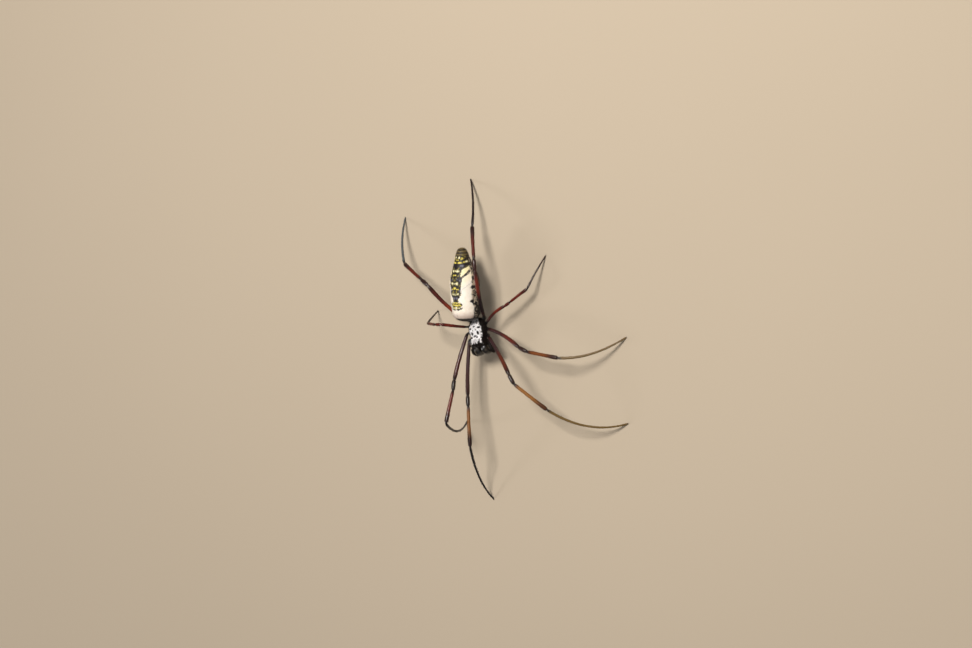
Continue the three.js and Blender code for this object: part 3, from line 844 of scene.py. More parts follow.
# Marks on the back, mirrored, in the order that they are laid: degrees from the midline,
# distance from the front, then half sizes in degrees and millimetres
backMarks = {
    "night": [
        (10, 4.4, 13, 0.3), (24, 4.75, 5, 0.34), (27, 6.0, 4, 0.5), (12, 6.25, 15, 0.3), (3, 7.05, 12, 0.36),
        (12, 5.35, 15, 0.25), (21, 5.9, 3, 0.3), (70, 6.9, 5, 0.6), (83, 4.5, 4, 0.5), (86, 6.1, 4, 0.65),
        (74, 11.5, 5, 0.5), (76, 13.3, 5, 0.4), (79, 8.9, 4, 0.5), (82, 2.9, 4, 0.4),
    ],
    "slate": [
        (6, 8.05, 6, 0.48), (22, 10.6, 5, 0.36), (12, 14.2, 4, 0.3), (27, 13.9, 5, 0.4), (40, 18.6, 14, 0.3),
    ],
    "olive": [
        (24, 12.2, 4, 0.36), (0, 13.9, 5, 0.36), (20, 15.4, 5, 0.36), (66, 21.5, 9, 0.3), (18, 17.8, 6, 0.24),
        (27, 16.2, 4, 0.3), (25, 9.2, 3, 0.3), (9, 14.6, 4, 0.3), (10, 7.5, 4, 0.2), (50, 22.0, 12, 0.25),
    ],
    "pale": [
        (20, 4.9, 4, 0.22), (4, 4.6, 4, 0.2), (3, 9.3, 4, 0.36), (14, 9.45, 5, 0.38), (13, 12.85, 6.5, 0.56),
        (2, 12.9, 3, 0.3), (14, 16.9, 9, 0.46), (2, 17.0, 4, 0.36), (72, 19.9, 15, 0.38),
        (17, 21.2, 11, 0.38),
    ],
    "yellow": [
        (3, 5.75, 9, 0.38), (15, 5.9, 6, 0.32), (22, 5.55, 4, 0.24), (5, 6.6, 6, 0.28), (17, 6.5, 6, 0.24),
        (11, 4.95, 6, 0.24), (0, 11.4, 8, 0.46), (13, 11.0, 7, 0.3), (8, 10.2, 3, 0.24), (5, 15.6, 5, 0.34),
        (22, 19.55, 22, 0.3), (42, 20.95, 10, 0.38), (52, 19.7, 6, 0.26), (8, 20.4, 7, 0.22),
        (30, 20.6, 5, 0.24),
    ],
}
# Where each kind of mark starts and is full, with 1 on its outline
markEdges = {
    "night": (1.15, 0.8), "slate": (1.2, 0.4), "olive": (1.2, 0.5), "pale": (1.2, 0.9), "yellow": (1.2, 0.9),
}
markCore = (0.85, 0.4)
# Half width of the dark band on the back, in degrees, and of the white band's outer edge
darkBand = [
    (6.8, 0), (7.3, 10), (8, 16), (9, 23), (10, 29), (10.8, 25), (12, 32), (13, 29), (14, 35), (15, 29),
    (16, 31), (17.3, 34), (18.2, 70), (19, 95),
]
whiteBand = [(0, 70), (2, 87), (5, 79), (7, 67), (8.5, 67), (10, 71), (15, 75), (19, 84), (24.4, 85)]
backTones = {
    "flank": (0.34, 0.26, 0.18), "flankPale": (0.66, 0.57, 0.44), "blotch": (0.014, 0.011, 0.011),
    "belly": (0.018, 0.011, 0.009), "bellyBrown": (0.05, 0.03, 0.02), "bellySpot": (0.45, 0.36, 0.06),
    # tan is painted shade, laid over the white band towards the abdomen's front end
    "cream": (0.86, 0.79, 0.69), "creamShade": (0.8, 0.71, 0.59), "tan": (0.5, 0.37, 0.31),
    "yellowish": (0.84, 0.75, 0.46), "patch": (0.82, 0.73, 0.44), "line": (0.36, 0.32, 0.32),
    "freckle": (0.4, 0.34, 0.28), "band": (0.006, 0.004, 0.005), "bandSoft": (0.026, 0.018, 0.021),
    "fleck": (0.2, 0.16, 0.03), "tailDark": (0.026, 0.018, 0.01), "tailPale": (0.15, 0.11, 0.045),
    "night": (0.01, 0.008, 0.009), "slate": (0.13, 0.125, 0.17), "olive": (0.2, 0.165, 0.035),
    "pale": (0.84, 0.8, 0.55), "paleRim": (0.33, 0.28, 0.09),
    "yellow": (0.76, 0.63, 0.12), "yellowRim": (0.24, 0.19, 0.02),
    "shoulder": (0.012, 0.009, 0.009), "frontRim": (0.012, 0.009, 0.008),
}
# Where each zone starts and is full: degrees in the first line, then mm from the front, and
# values of the noise in the last three
zones = {
    "belly": (96, 112), "white": (2, -2), "band": (-1.2, 1.2), "shoulderTop": (70, 84),
    "whiteFront": (1.0, 1.4), "mainPatch": (12.6, 12.3),
    "patchFront": (13.2, 13.5), "patchRear": (15.5, 15.1),
    "line": (0.22, 0.04), "lineAt": 9.1, "yellowish": (9.4, 11.4), "patch": (13, 13.3), "tan": (4.6, 1.4),
    "tail": (20.9, 21.9), "shoulderRear": (6.5, 4.5), "frontRim": (1.5, 1.05),
    "flankPale": (0.42, 0.6), "blotch": (0.475, 0.51), "bellySpot": (0.2, 0.1), "freckle": (0.66, 0.74),
    "creamShade": (0.4, 0.7), "bandSoft": (0.45, 0.62), "fleck": (0.3, 0.16), "fleckArea": (0.44, 0.52),
    "tailPale": (-0.3, 0.5), "shoulderTorn": (0.6, 0.5),
}
shares = {"yellowish": 0.4, "line": 0.5, "tan": 0.75, "freckle": 0.5}   # of tones that only tint
# How far the noise warps and breaks the marks, in degrees and mm, and how close the tail's rings are
ragged = {
    "angle": 20, "angleFine": 15, "along": 1.2, "alongFine": 0.35, "slant": 0.055, "torn": 1.6, "marks": 1.1,
    "tailRings": 6.5, "tailSway": 4,
}


def abdomenMaterial(name, coat):
    shader = Shader(name)
    rawAngle, rawS, _ = shader.place()
    point = shader.point()
    warp = shader.noise(point, scale=0.9, detail=4, rough=0.6)
    fine = shader.noise(point, scale=3.0, detail=4, rough=0.65)
    speck = shader.noise(point, scale=6.5, detail=3, rough=0.6)
    angle = rawAngle + (warp - 0.5) * ragged["angle"] + (fine - 0.5) * ragged["angleFine"]
    s = rawS + (fine - 0.5) * ragged["along"] + (speck - 0.5) * ragged["alongFine"]
    slant = s - angle * ragged["slant"]
    torn = slant + (warp - 0.5) * ragged["torn"]

    # A ramp holds 0 to 1, so angles pass through it as shares of 100 degrees.
    def bandEdge(stops):
        stops = [(place / abdomen["length"], edge / 100) for place, edge in stops]
        return shader.ramp(rawS / abdomen["length"], stops) * 100

    def zone(value, name):
        return shader.ease(value, *zones[name])

    def laid(under, mask, tone):
        if tone in shares:
            mask = mask * shares[tone]
        return shader.mix(mask, under, backTones[tone])

    # Spotted flank and belly
    flank = laid(backTones["flank"], zone(fine, "flankPale"), "flankPale")
    blotch = shader.noise(point, scale=0.8, detail=4, rough=0.7)
    flank = laid(flank, zone(blotch, "blotch"), "blotch")
    belly = laid(backTones["belly"], fine, "bellyBrown")
    belly = laid(belly, zone(shader.cells(point, scale=0.75), "bellySpot"), "bellySpot")
    color = shader.mix(zone(angle, "belly"), flank, belly)

    # White band with its slanting line and second patch, and tan painted shade towards its front end
    white = zone(angle - bandEdge(whiteBand), "white")
    bands = zone(slant, "mainPatch") + zone(torn, "patchFront") * zone(torn, "patchRear")
    white = white * bands * zone(s, "whiteFront")
    cream = laid(backTones["cream"], zone(warp, "creamShade"), "creamShade")
    cream = laid(cream, zone(torn, "yellowish"), "yellowish")
    cream = laid(cream, zone(slant, "patch"), "patch")
    cream = laid(cream, zone(abs(slant - zones["lineAt"]), "line"), "line")
    # Painted shade: the white band turns tan towards the front end
    cream = laid(cream, zone(s, "tan"), "tan")
    cream = laid(cream, zone(speck, "freckle"), "freckle")
    color = shader.mix(white, color, cream)

    # Dark band on the back, and the ringed tail
    inside = zone(bandEdge(darkBand) - angle, "band")
    band = laid(backTones["band"], zone(fine, "bandSoft"), "bandSoft")
    fleck = zone(shader.cells(point, scale=1.7), "fleck") * zone(warp, "fleckArea")
    band = laid(band, fleck, "fleck")
    color = shader.mix(inside, color, band)
    wave = (s * ragged["tailRings"] + warp * ragged["tailSway"]).maths("SINE")
    tail = laid(backTones["tailDark"], zone(wave, "tailPale"), "tailPale")
    color = shader.mix(zone(s, "tail"), color, tail)

    for kind, marks in backMarks.items():
        reach = shader.nearest(angle, s, marks)
        tone = backTones[kind]
        if kind in ("pale", "yellow"):
            reach = reach + (speck - 0.5) * ragged["marks"]
            tone = shader.mix(shader.ease(reach, *markCore), backTones[f"{kind}Rim"], tone)
        color = shader.mix(shader.ease(reach, *markEdges[kind]), color, tone)

    shoulder = zone(angle, "shoulderTop") * zone(s, "shoulderRear") * zone(fine, "shoulderTorn")
    color = laid(color, shoulder, "shoulder")
    color = laid(color, zone(s, "frontRim"), "frontRim")
    if coat:
        return shader.finish(color, hairRough, shader.bump(fine, 0.005), abdomen["hairShine"])
    scales = shader.cells(point, scale=7.0)
    normal = shader.bump(scales, 0.03, 0.6, shader.bump(fine, 0.1, 0.5))
    return shader.finish(color, fine * abdomen["roughSpan"] + abdomen["rough"], normal, abdomen["shine"])


def makeAbdomen():
    s = denseEnds(abdomen["rings"], margin=0.03) * abdomen["length"]
    turn = np.linspace(0, 2 * math.pi, abdomen["sides"], endpoint=False)
    shape = abdomenSurface(s[:, None], turn[None])
    place = np.stack(np.broadcast_arrays(backAngle(turn)[None], s[:, None], 0.0), -1)
    skin = abdomenMaterial("abdomenSkin", False)
    makeSkin("abdomenSkin", abdomenPlaced(shape), place, skin, ["abdomen"])
    count, margin = abdomen["hairs"], abdomen["hairMargin"]
    s = draw.uniform(margin, abdomen["length"] - margin, count)
    turn = draw.uniform(0, 2 * math.pi, count)
    here, normals = spread(abdomenSurface, s, turn)
    middle = np.stack([np.zeros(count), s, abdomenLift(s)], -1)
    normals = facing(normals, here - middle)
    ways = np.tile([0.0, 1.0, 0.0], (count, 1))
    placed = [abdomenPlaced(here), normals @ abdomenTurn.T, ways @ abdomenTurn.T]
    place = np.stack([backAngle(turn), s, np.zeros(count)], -1)
    spots = np.stack([turn / (2 * math.pi), s / abdomen["length"]], -1)
    material = abdomenMaterial("abdomenHair", True)
    makeTufts("abdomenHair", abdomen["hair"], *placed, material, "abdomen", place, spots)


# Spinnerets on their mound: place, length, girth and lean of each pair
spinnerets = {
    "pairs": [
        {"x": 0.55, "s": -0.6, "length": 1.9, "girth": 0.5, "lean": -0.25},
        {"x": 0.55, "s": 0.5, "length": 2.0, "girth": 0.46, "lean": 0.5},
        {"x": 0.22, "s": 0.0, "length": 1.3, "girth": 0.24, "lean": 0.1},
    ],
    "mound": (1.35, 0.75),   # half width, half height
    "moundRings": 24, "moundSides": 40, "rings": 26, "sides": 24,
    "root": 0.3, "taper": 0.42, "tip": (0.4, 2),   # the tip's rounding: length, power
    "ring": (0.12, 0.62, 0.05),   # depth, place and half length, shares of girth and length
}
pedicel = {
    "path": [(0, -1, -0.5), (0, 0.5, -0.3), (-0.1, 2.4, 0.9)],   # from the thorax's rear and pivot
    "girth": [(0, 0.55), (0.5, 0.5), (1, 0.6)], "rings": 40, "sides": 32,
}
# The plain dark skins: two tones each, and what they share
dark = {
    "coxa": ((0.005, 0.004, 0.004), (0.016, 0.012, 0.01)),
    "spinneret": ((0.03, 0.02, 0.012), (0.08, 0.05, 0.03)),
    "rough": 0.36, "roughSpan": 0.2, "shine": 0.1,
}


def darkMaterial(name, tones):
    shader = Shader(name)
    point = shader.point()
    broad = shader.noise(point, scale=0.9, detail=3)
    fine = shader.noise(point, scale=7.0, detail=3)
    color = shader.mix(broad, *tones)
    normal = shader.bump(fine, 0.05, 0.6)
    return shader.finish(color, fine * dark["roughSpan"] + dark["rough"], normal, dark["shine"])


def makeSpinnerets(material):
    middle = abdomen["spinnerets"]
    belly = float(abdomenLift(middle) - abdomen["depth"] / 2 * abdomenHalf(middle))
    turn = halfTurn(spinnerets["moundRings"])
    wide, high = spinnerets["mound"]
    path = np.array([0, middle, belly]) + np.cos(turn)[:, None] * np.array([0, 0, high])
    forms = [tube(path, np.sin(turn) * wide, spinnerets["moundSides"], 1.0, (0, 1, 0))]
    depth, level, half = spinnerets["ring"]
    for pair in spinnerets["pairs"]:
        for side in (1, -1):
            t = np.linspace(0, 1, spinnerets["rings"])
            lean = np.array([0, math.sin(pair["lean"]), -math.cos(pair["lean"])])
            root = np.array([side * pair["x"], middle + pair["s"], belly + spinnerets["root"]])
            centres = root + lean * (t * pair["length"])[:, None]
            tip = roundOff((1.01 - t) * pair["length"], *spinnerets["tip"])
            radii = pair["girth"] * (1 - spinnerets["taper"] * t) * tip
            radii = radii * (1 - depth * np.exp(-((t - level) / half) ** 2))
            forms.append(tube(centres, radii, spinnerets["sides"], 1.0, (1, 0, 0)))
    points, faces = joined([abdomenPlaced(form) for form in forms])
    makePiece("spinneretSkin", points, faces, material, ["spinnerets"], points)


def makePedicel(material):
    path = smoothPath(np.array(pedicel["path"]) + (0, thorax["rear"], thorax["pivot"]))
    t = np.linspace(0, 1, pedicel["rings"])
    shape = tube(walk(path, t * pathLength(path)), follow(pedicel["girth"], t), pedicel["sides"])
    makeSkin("pedicelSkin", shape, shape, material, ["pedicel"])


# Legs: lengths in mm for each pair, then each leg's pose as (heading, rise) in degrees, with how
# far the femur arches and the foot bows and curls, in mm. The foot drops to the floor by itself.
pairs = {
    "1": {"femur": 18.3, "patella": 3.7, "tibia": 13.5, "foot": 26.3, "hip": (3.9, -3.3), "girth": 1.0},
    "2": {"femur": 15.8, "patella": 3.7, "tibia": 11.2, "foot": 22.7, "hip": (4.4, -1.1), "girth": 1.0},
    "3": {"femur": 9.0, "patella": 2.3, "tibia": 7.6, "foot": 12.2, "hip": (4.3, 1.1), "girth": 0.76},
    "4": {"femur": 17.3, "patella": 3.8, "tibia": 11.4, "foot": 17.5, "hip": (3.5, 3.1), "girth": 1.0},
}
legs = {
    "l1": {"femur": (-53, 24.5), "patella": (-69, 3.5), "tibia": (-53, -14), "foot": -28,
           "arch": (0.7, 0.3, 0.5), "bow": (-0.4, -2.9, 0.7)},
    "l2": {"femur": (-30.5, 15), "patella": (-34, 2), "tibia": (-21.5, -6.5), "foot": 3.5,
           "arch": (0.5, 0.9, 0.4), "bow": (-0.2, -1.8, 0.8)},
    "l3": {"femur": (25.5, -4.5), "patella": (21, -7), "tibia": (23.5, -14), "foot": 55,
           "arch": (0, 0.6, 0.4), "bow": (0, 0, 0.5)},
    "l4": {"femur": (71.5, 19), "patella": (87, -10), "tibia": (93.5, -22.5), "foot": 99.5,
           "arch": (0.7, -0.2, 1.45), "bow": (1.0, 0, 0.5)},
    "r1": {"femur": (-104, 8), "patella": (-90, 18), "tibia": (-95.5, 11.5), "foot": -111,
           "arch": (0, 0, 0.5), "bow": (-1.1, 0.2, 0.3), "curl": (-1.0, -0.7, 0)},
    "r2": {"femur": (-110, 24), "patella": (-99, 22.5), "tibia": (-104.5, 24.5), "foot": -164,
           "arch": (0, 0, 0.5), "bow": (-0.4, -2.5, 0.4), "curl": (0, -0.8, 0)},
    "r3": {"femur": (147, 53), "patella": (172, -2), "tibia": (172, -33.5), "foot": 139,
           "arch": (0, 0, 0.3), "bow": (0, 0, 0.4)},
    "r4": {"femur": (119, 19.5), "patella": (136.5, -11), "tibia": (143, -21), "foot": 98,
           "arch": (-0.5, -0.7, 0.1), "bow": (-0.7, 0, 0.6)},
}
girths = {
    "coxa": [(0, 0.9), (0.35, 0.98), (0.62, 0.88), (0.7, 0.72), (0.88, 0.68), (1, 0.42)],
    "femur": [(0, 0.46), (0.05, 0.56), (0.3, 0.6), (0.6, 0.62), (0.86, 0.68), (0.96, 0.66), (1, 0.54)],
    "patella": [(0, 0.54), (0.15, 0.64), (0.6, 0.68), (0.9, 0.6), (1, 0.48)],
    "tibia": [(0, 0.44), (0.07, 0.52), (0.4, 0.53), (0.65, 0.58), (0.85, 0.66), (0.96, 0.64), (1, 0.46)],
    "metatarsus": [(0, 0.34), (0.03, 0.44), (0.3, 0.37), (0.72, 0.31), (0.76, 0.28), (0.96, 0.27), (1, 0.2)],
}
legForm = {
    "hipHeight": 8.7, "footHeight": 0.1, "gap": 0.3, "coxaFlat": 0.78,
    "innerHip": (1.9, 0.8, -1.5),   # across, share of the hip's y, and height
    "coxaBend": 0.4, "coxaSag": -0.15,
    "patellaArch": (0, 0, 0.1), "tibiaArch": (0, 0, 0.15),
    "rimShare": 0.8, "coxaEnd": 0.42, "endDepth": 0.1, "endReach": 0.22,
    "ringStep": 0.2, "fewestRings": 10, "endRings": (0.004, 0.012, 0.988, 0.996), "sides": 18,
    "membrane": 0.88, "membraneRings": (0.25, 0.5, 0.75), "inset": 0.001,
    "clawLength": 0.6, "clawRadius": 0.1, "clawSpread": 0.12, "clawRoot": 0.12,
    "clawArch": 0.07, "clawDrop": 0.06, "clawTaper": 0.75, "clawRings": 16, "clawSides": 10,
}
partNames = ["coxa", "femur", "patella", "tibia", "metatarsus"]


def legPaths(name):
    pose, pair = legs[name], pairs[name[1]]
    side = 1 if name[0] == "l" else -1
    across, share, down = legForm["innerHip"]
    hip = tipped(np.array([side * pair["hip"][0], pair["hip"][1], legForm["hipHeight"]]))
    inner = tipped(np.array([side * across, pair["hip"][1] * share, legForm["hipHeight"] + down]))
    middle = hip + (inner - hip) * legForm["coxaBend"] + np.array([0, 0, legForm["coxaSag"]])
    knee = hip + heading(pose["femur"]) * pair["femur"]
    elbow = knee + heading(pose["patella"]) * pair["patella"]
    ankle = elbow + heading(pose["tibia"]) * pair["tibia"]
    drop = -math.degrees(math.asin((ankle[2] - legForm["footHeight"]) / pair["foot"]))
    foot = ankle + heading((pose["foot"], drop)) * pair["foot"]
    return {
        "coxa": smoothPath([inner, middle, hip], count=100),
        "femur": bowedPath(hip, knee, pose["arch"]),
        "patella": bowedPath(knee, elbow, legForm["patellaArch"]),
        "tibia": bowedPath(elbow, ankle, legForm["tibiaArch"]),
        "metatarsus": bowedPath(ankle, foot, pose["bow"], pose.get("curl", (0, 0, 0))),
    }


def endWay(path, end):
    return unit(path[-1] - path[-3]) if end else unit(path[2] - path[0])


# How far an end stays back from its joint, so that two bent neighbours keep the gap
def setBack(before, after, girth):
    angle = math.acos(float(np.clip(endWay(before, True) @ endWay(after, False), -1, 1)))
    return legForm["gap"] / 2 + girth * math.tan(angle / 2)


# Centres, radii, flatness and places of all the rings of a leg, joints and membranes included
def legRings(name):
    paths, scale = legPaths(name), pairs[name[1]]["girth"]
    rows = []
    for i, part in enumerate(partNames):
        path = paths[part]
        firstRim, lastRim = [legForm["rimShare"] * girths[part][stop][1] * scale for stop in (0, -1)]
        start = end = 0.0
        if part == "femur":
            start = legForm["gap"]
        elif i > 1:
            start = setBack(paths[partNames[i - 1]], path, firstRim)
        if part == "coxa":
            end = setBack(path, paths["femur"], legForm["coxaEnd"])
        elif i < 4:
            end = setBack(path, paths[partNames[i + 1]], lastRim)
        length = pathLength(path) - start - end
        count = max(legForm["fewestRings"], int(length / legForm["ringStep"]))
        second, third, thirdLast, secondLast = legForm["endRings"]
        t = np.concatenate([[0, second], np.linspace(third, thirdLast, count), [secondLast, 1]])
        girth = rounded(girths[part], t) * scale
        if part != "coxa":
            near = np.clip(1 - np.minimum(t, 1 - t) * length / legForm["endReach"], 0, 1)
            girth = girth * (1 - legForm["endDepth"] * near ** 2)
        here = walk(path, start + t * length)
        if i > 0:
            u = np.array(legForm["membraneRings"])[:, None]
            bridge = rows[-1][0][-1] * (1 - u) ** 2 + 2 * path[0] * u * (1 - u) + here[0] * u ** 2
            soft = legForm["membrane"] * min(rows[-1][1][-1], girth[0]) * np.ones(len(u))
            rows.append((bridge, soft, np.ones(len(u)), np.full(len(u), float(i))))
        flat = np.full(len(t), legForm["coxaFlat"] if part == "coxa" else 1.0)
        inset = legForm["inset"]
        rows.append((here, girth, flat, i + inset + t * (1 - 2 * inset)))
    return [np.concatenate(values) for values in zip(*rows)]


# Colours along a leg, told by a number: 0 coxa, 1 femur, 2 patella, 3 tibia, 4 metatarsus and tarsus
# Each leg has its own tones, which carry some of its light: the olive feet of l1 and l2 are painted light
# shining through them, the blue-grey foot of r4 is a painted sheen, and the mauve grey of the r1 and r2
# femora is partly painted sheen.
legTonesWithPaintedLight = {
    "l1": {"base": (0.035, 0.014, 0.015), "femur": (0.09, 0.018, 0.0078), "knee": (0.02, 0.008, 0.006),
           "tibia": (0.24, 0.096, 0.02), "tibiaEnd": (0.075, 0.026, 0.01), "foot": (0.15, 0.092, 0.03)},
    "l2": {"base": (0.04, 0.014, 0.013), "femur": (0.09, 0.013, 0.0078), "knee": (0.025, 0.009, 0.007),
           "tibia": (0.16, 0.045, 0.009), "tibiaEnd": (0.035, 0.012, 0.008), "foot": (0.15, 0.095, 0.036)},
    "l3": {"base": (0.05, 0.009, 0.0065), "femur": (0.125, 0.013, 0.006), "knee": (0.08, 0.0097, 0.0065),
           "tibia": (0.12, 0.013, 0.0078), "tibiaEnd": (0.05, 0.009, 0.0065), "foot": (0.035, 0.017, 0.014)},
    "l4": {"base": (0.014, 0.007, 0.008), "femur": (0.115, 0.014, 0.006), "knee": (0.03, 0.0067, 0.0052),
           "tibia": (0.09, 0.011, 0.0059), "tibiaEnd": (0.025, 0.006, 0.0046), "foot": (0.018, 0.01, 0.01)},
    "r1": {"base": (0.045, 0.022, 0.024), "femur": (0.045, 0.017, 0.016), "knee": (0.016, 0.008, 0.007),
           "tibia": (0.2, 0.075, 0.015), "tibiaEnd": (0.02, 0.007, 0.006), "foot": (0.014, 0.014, 0.016)},
    "r2": {"base": (0.055, 0.022, 0.022), "femur": (0.06, 0.011, 0.0084), "knee": (0.016, 0.008, 0.007),
           "tibia": (0.12, 0.015, 0.0072), "tibiaEnd": (0.022, 0.008, 0.007), "foot": (0.03, 0.028, 0.03)},
    "r3": {"base": (0.06, 0.011, 0.0065), "femur": (0.13, 0.015, 0.0078), "knee": (0.09, 0.011, 0.0065),
           "tibia": (0.1, 0.012, 0.0078), "tibiaEnd": (0.04, 0.0083, 0.0059), "foot": (0.035, 0.02, 0.016)},
    "r4": {"base": (0.17, 0.022, 0.007), "femur": (0.06, 0.009, 0.006), "knee": (0.024, 0.009, 0.008),
           "tibia": (0.1, 0.012, 0.0065), "tibiaEnd": (0.026, 0.009, 0.008), "foot": (0.085, 0.095, 0.1)},
}
# What all legs share: the tones of the ends, the specks, and the gloss
legLook = {
    "black": (0.006, 0.0045, 0.0045), "maroon": (0.03, 0.008, 0.006), "ragged": 0.08,
    "speck": (0.006, 0.004, 0.004), "speckEdges": (0.46, 0.75), "speckShare": 0.4,
    "rough": 0.2, "roughSpan": 0.14, "shine": 0.35, "hairShine": 0.05,
}
legStops = [
    (0.0, "black"), (1.02, "black"), (1.08, "maroon"), (1.16, "base"), (1.44, "base"), (1.62, "femur"),
    (1.84, "femur"), (1.94, "maroon"), (1.98, "knee"), (2.9, "knee"), (2.99, "black"), (3.03, "maroon"),
    (3.14, "tibia"), (3.55, "tibia"), (3.8, "tibiaEnd"), (3.97, "tibiaEnd"), (4.0, "black"),
    (4.06, "foot"), (5.0, "foot"),
]


def legMaterial(name, coat):
    shader = Shader(f"legHair_{name}" if coat else f"legShell_{name}")
    tones = {**legLook, **legTonesWithPaintedLight[name]}
    along, _, _ = shader.place()
    point = shader.point()
    broad = shader.noise(point, scale=0.7, detail=3)
    fine = shader.noise(point, scale=8.0, detail=3)
    last = len(partNames)
    stops = [(place / last, tones[tone]) for place, tone in legStops]
    color = shader.ramp((along + (broad - 0.5) * legLook["ragged"]) / last, stops)
    specks = shader.ease(fine, *legLook["speckEdges"]) * legLook["speckShare"]
    color = shader.mix(specks, color, legLook["speck"])
    if coat:
        return shader.finish(color, hairRough, shader.bump(fine, 0.004), legLook["hairShine"])
    pores = shader.cells(point, scale=6.0)
    normal = shader.bump(pores, 0.02, 0.5, shader.bump(fine, 0.02, 0.4))
    return shader.finish(color, fine * legLook["roughSpan"] + legLook["rough"], normal, legLook["shine"])


# Hair of the legs: length in mm and number per mm on each part, and where it starts on the coxa
legHair = {
    "parts": {
        "coxa": (0.3, 34), "femur": (0.3, 40), "patella": (0.36, 46), "tibia": (0.38, 60),
        "metatarsus": (0.34, 44),
    },
    "start": (0.25, 0.35), "width": 0.028, "thickness": 0.024, "lift": 26, "scatter": 0.14,
}


def makeLeg(name, shell, hair, claw):
    centres, radii, flats, places = legRings(name)
    rings = tube(centres, radii, legForm["sides"], flats)
    place = np.broadcast_to(places[:, None, None], rings.shape)
    nodes = [f"leg_{name}_{part}" for part in partNames]
    makeSkin(f"leg_{name}_skin", rings, place, shell, nodes)
    parts = list(legHair["parts"].values())
    length, density = np.array([parts[min(4, int(along))] for along in places]).T
    coat = {**legHair, "length": length, "density": density * ease(*legHair["start"], places)}
    makeTubeHair(f"leg_{name}_hair", centres, radii, places, coat, hair, "femur")
    makeClaws(name, claw)


# Two curved claws at the tip
def makeClaws(name, claw):
    path = legPaths(name)["metatarsus"]
    way = unit(endWay(path, True) * np.array([1, 1, 0]))
    beside = np.cross(way, (0, 0, 1))
    t = np.linspace(0, 1, legForm["clawRings"])
    rise = legForm["clawArch"] * np.sin(t * math.pi) - legForm["clawDrop"] * t
    radii = legForm["clawRadius"] * legForm["clawTaper"] * (1.02 - t)
    forms = []
    for side in (1, -1):
        start = path[-1] + beside * side * legForm["clawSpread"] - way * legForm["clawRoot"]
        start[2] = legForm["clawRadius"]
        centres = start + way * (t * legForm["clawLength"])[:, None] + rise[:, None] * (0, 0, 1)
        forms.append(tube(centres, radii, legForm["clawSides"]))
    points, faces = joined(forms)
    makePiece(f"leg_{name}_claws", points, faces, claw, (), points)


# The camera stands over the spider's left side and is rolled, as in the photo.
camera = {
    "azimuth": 2.657, "elevation": 52.97, "roll": -106.12,
    "lens": 100, "sensor": 36, "pixelsPerMm": 3.05, "imageWidth": 972, "near": 0.01, "far": 20,
    "aim": (0, 0, 9.27), "aimRight": 3.18, "aimUp": 1.475,
}


def makeCamera():
    back = heading((camera["azimuth"], camera["elevation"]))
    levelRight = unit(np.cross((0, 0, 1), back))
    levelUp = np.cross(back, levelRight)
    roll = math.radians(camera["roll"])
    right = math.cos(roll) * levelRight + math.sin(roll) * levelUp
    up = math.cos(roll) * levelUp - math.sin(roll) * levelRight
    aim = np.array(camera["aim"]) + shift + camera["aimRight"] * right + camera["aimUp"] * up
    distance = camera["imageWidth"] / camera["pixelsPerMm"] * camera["lens"] / camera["sensor"]
    data = bpy.data.cameras.new("photoCamera")
    data.lens = camera["lens"]
    data.sensor_width = camera["sensor"]
    data.clip_start = camera["near"]
    data.clip_end = camera["far"]
    made = bpy.data.objects.new("photoCamera", data)
    turn = Matrix((right, up, back)).transposed().to_4x4()
    made.matrix_world = Matrix.Translation(Vector((aim + back * distance) * mm)) @ turn
    bpy.context.scene.collection.objects.link(made)
    bpy.context.scene.camera = made


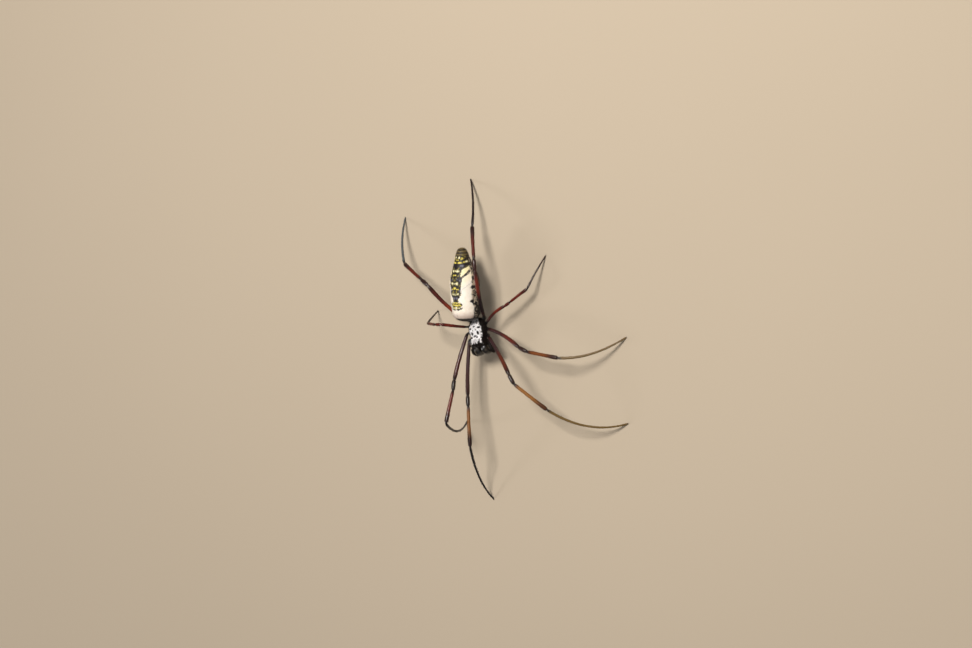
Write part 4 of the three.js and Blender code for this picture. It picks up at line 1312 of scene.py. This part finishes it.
# Plain paper under and behind, and soft lamps: direction, distance and size in metres, watts
studio = {
    "lights": [
        {"name": "key", "from": (0.32, 0.62, 1.25), "distance": 0.7, "size": 0.18, "power": 6.4,
         "color": (1.0, 0.965, 0.92)},
        {"name": "fill", "from": (0.9, -0.6, 0.8), "distance": 0.8, "size": 0.7, "power": 0.6,
         "color": (0.9, 0.94, 1.0)},
        {"name": "rim", "from": (-1.0, -0.1, 0.62), "distance": 0.8, "size": 0.16, "power": 1.5,
         "color": (0.97, 0.96, 0.97)},
    ],
    "aimHeight": 0.01, "air": (0.93, 0.9, 0.86), "airPower": 0.16,
    "paper": (0.42, 0.35, 0.265), "paperPale": (0.45, 0.375, 0.285), "paperRough": 0.9, "paperHalf": 4.0,
}


def makeLights():
    for light in studio["lights"]:
        data = bpy.data.lights.new(light["name"], "AREA")
        data.energy = light["power"]
        data.size = light["size"]
        data.color = light["color"]
        made = bpy.data.objects.new(light["name"], data)
        way = Vector(light["from"]).normalized()
        made.location = way * light["distance"] + Vector((0, 0, studio["aimHeight"]))
        made.rotation_euler = way.to_track_quat("Z", "Y").to_euler()
        bpy.context.scene.collection.objects.link(made)
    world = bpy.data.worlds.new("studio")
    world.use_nodes = True
    air = world.node_tree.nodes["Background"]
    air.inputs["Color"].default_value = (*studio["air"], 1)
    air.inputs["Strength"].default_value = studio["airPower"]
    bpy.context.scene.world = world
    bpy.context.scene.view_settings.view_transform = "Standard"


def makeFloor():
    shader = Shader("floorPaper")
    cloud = shader.noise(shader.point(), scale=0.004, detail=2)
    color = shader.mix(cloud, studio["paper"], studio["paperPale"])
    material = shader.finish(color, studio["paperRough"], shader.bump(cloud, 0.01), shine=0.1)
    mesh = bpy.data.meshes.new("floor")
    far = studio["paperHalf"]
    mesh.from_pydata([(-far, -far, 0), (far, -far, 0), (far, far, 0), (-far, far, 0)], [], [(0, 1, 2, 3)])
    mesh.materials.append(material)
    floor = bpy.data.objects.new("floor", mesh)
    bpy.context.scene.collection.objects.link(floor)


def makeAll():
    makeCamera()
    makeLights()
    makeFloor()
    print("stage made")
    jawShell = jawMaterial()
    coxaDark = darkMaterial("coxaShell", dark["coxa"])
    makeCephalothorax()
    makeEyes()
    makeMouth(jawShell, coxaDark)
    print("head and thorax made")
    makeAbdomen()
    makeSpinnerets(darkMaterial("spinneretSkin", dark["spinneret"]))
    makePedicel(coxaDark)
    print("abdomen made")
    for name in legs:
        makeLeg(name, legMaterial(name, False), legMaterial(name, True), jawShell)
    print("legs made")


makeAll()
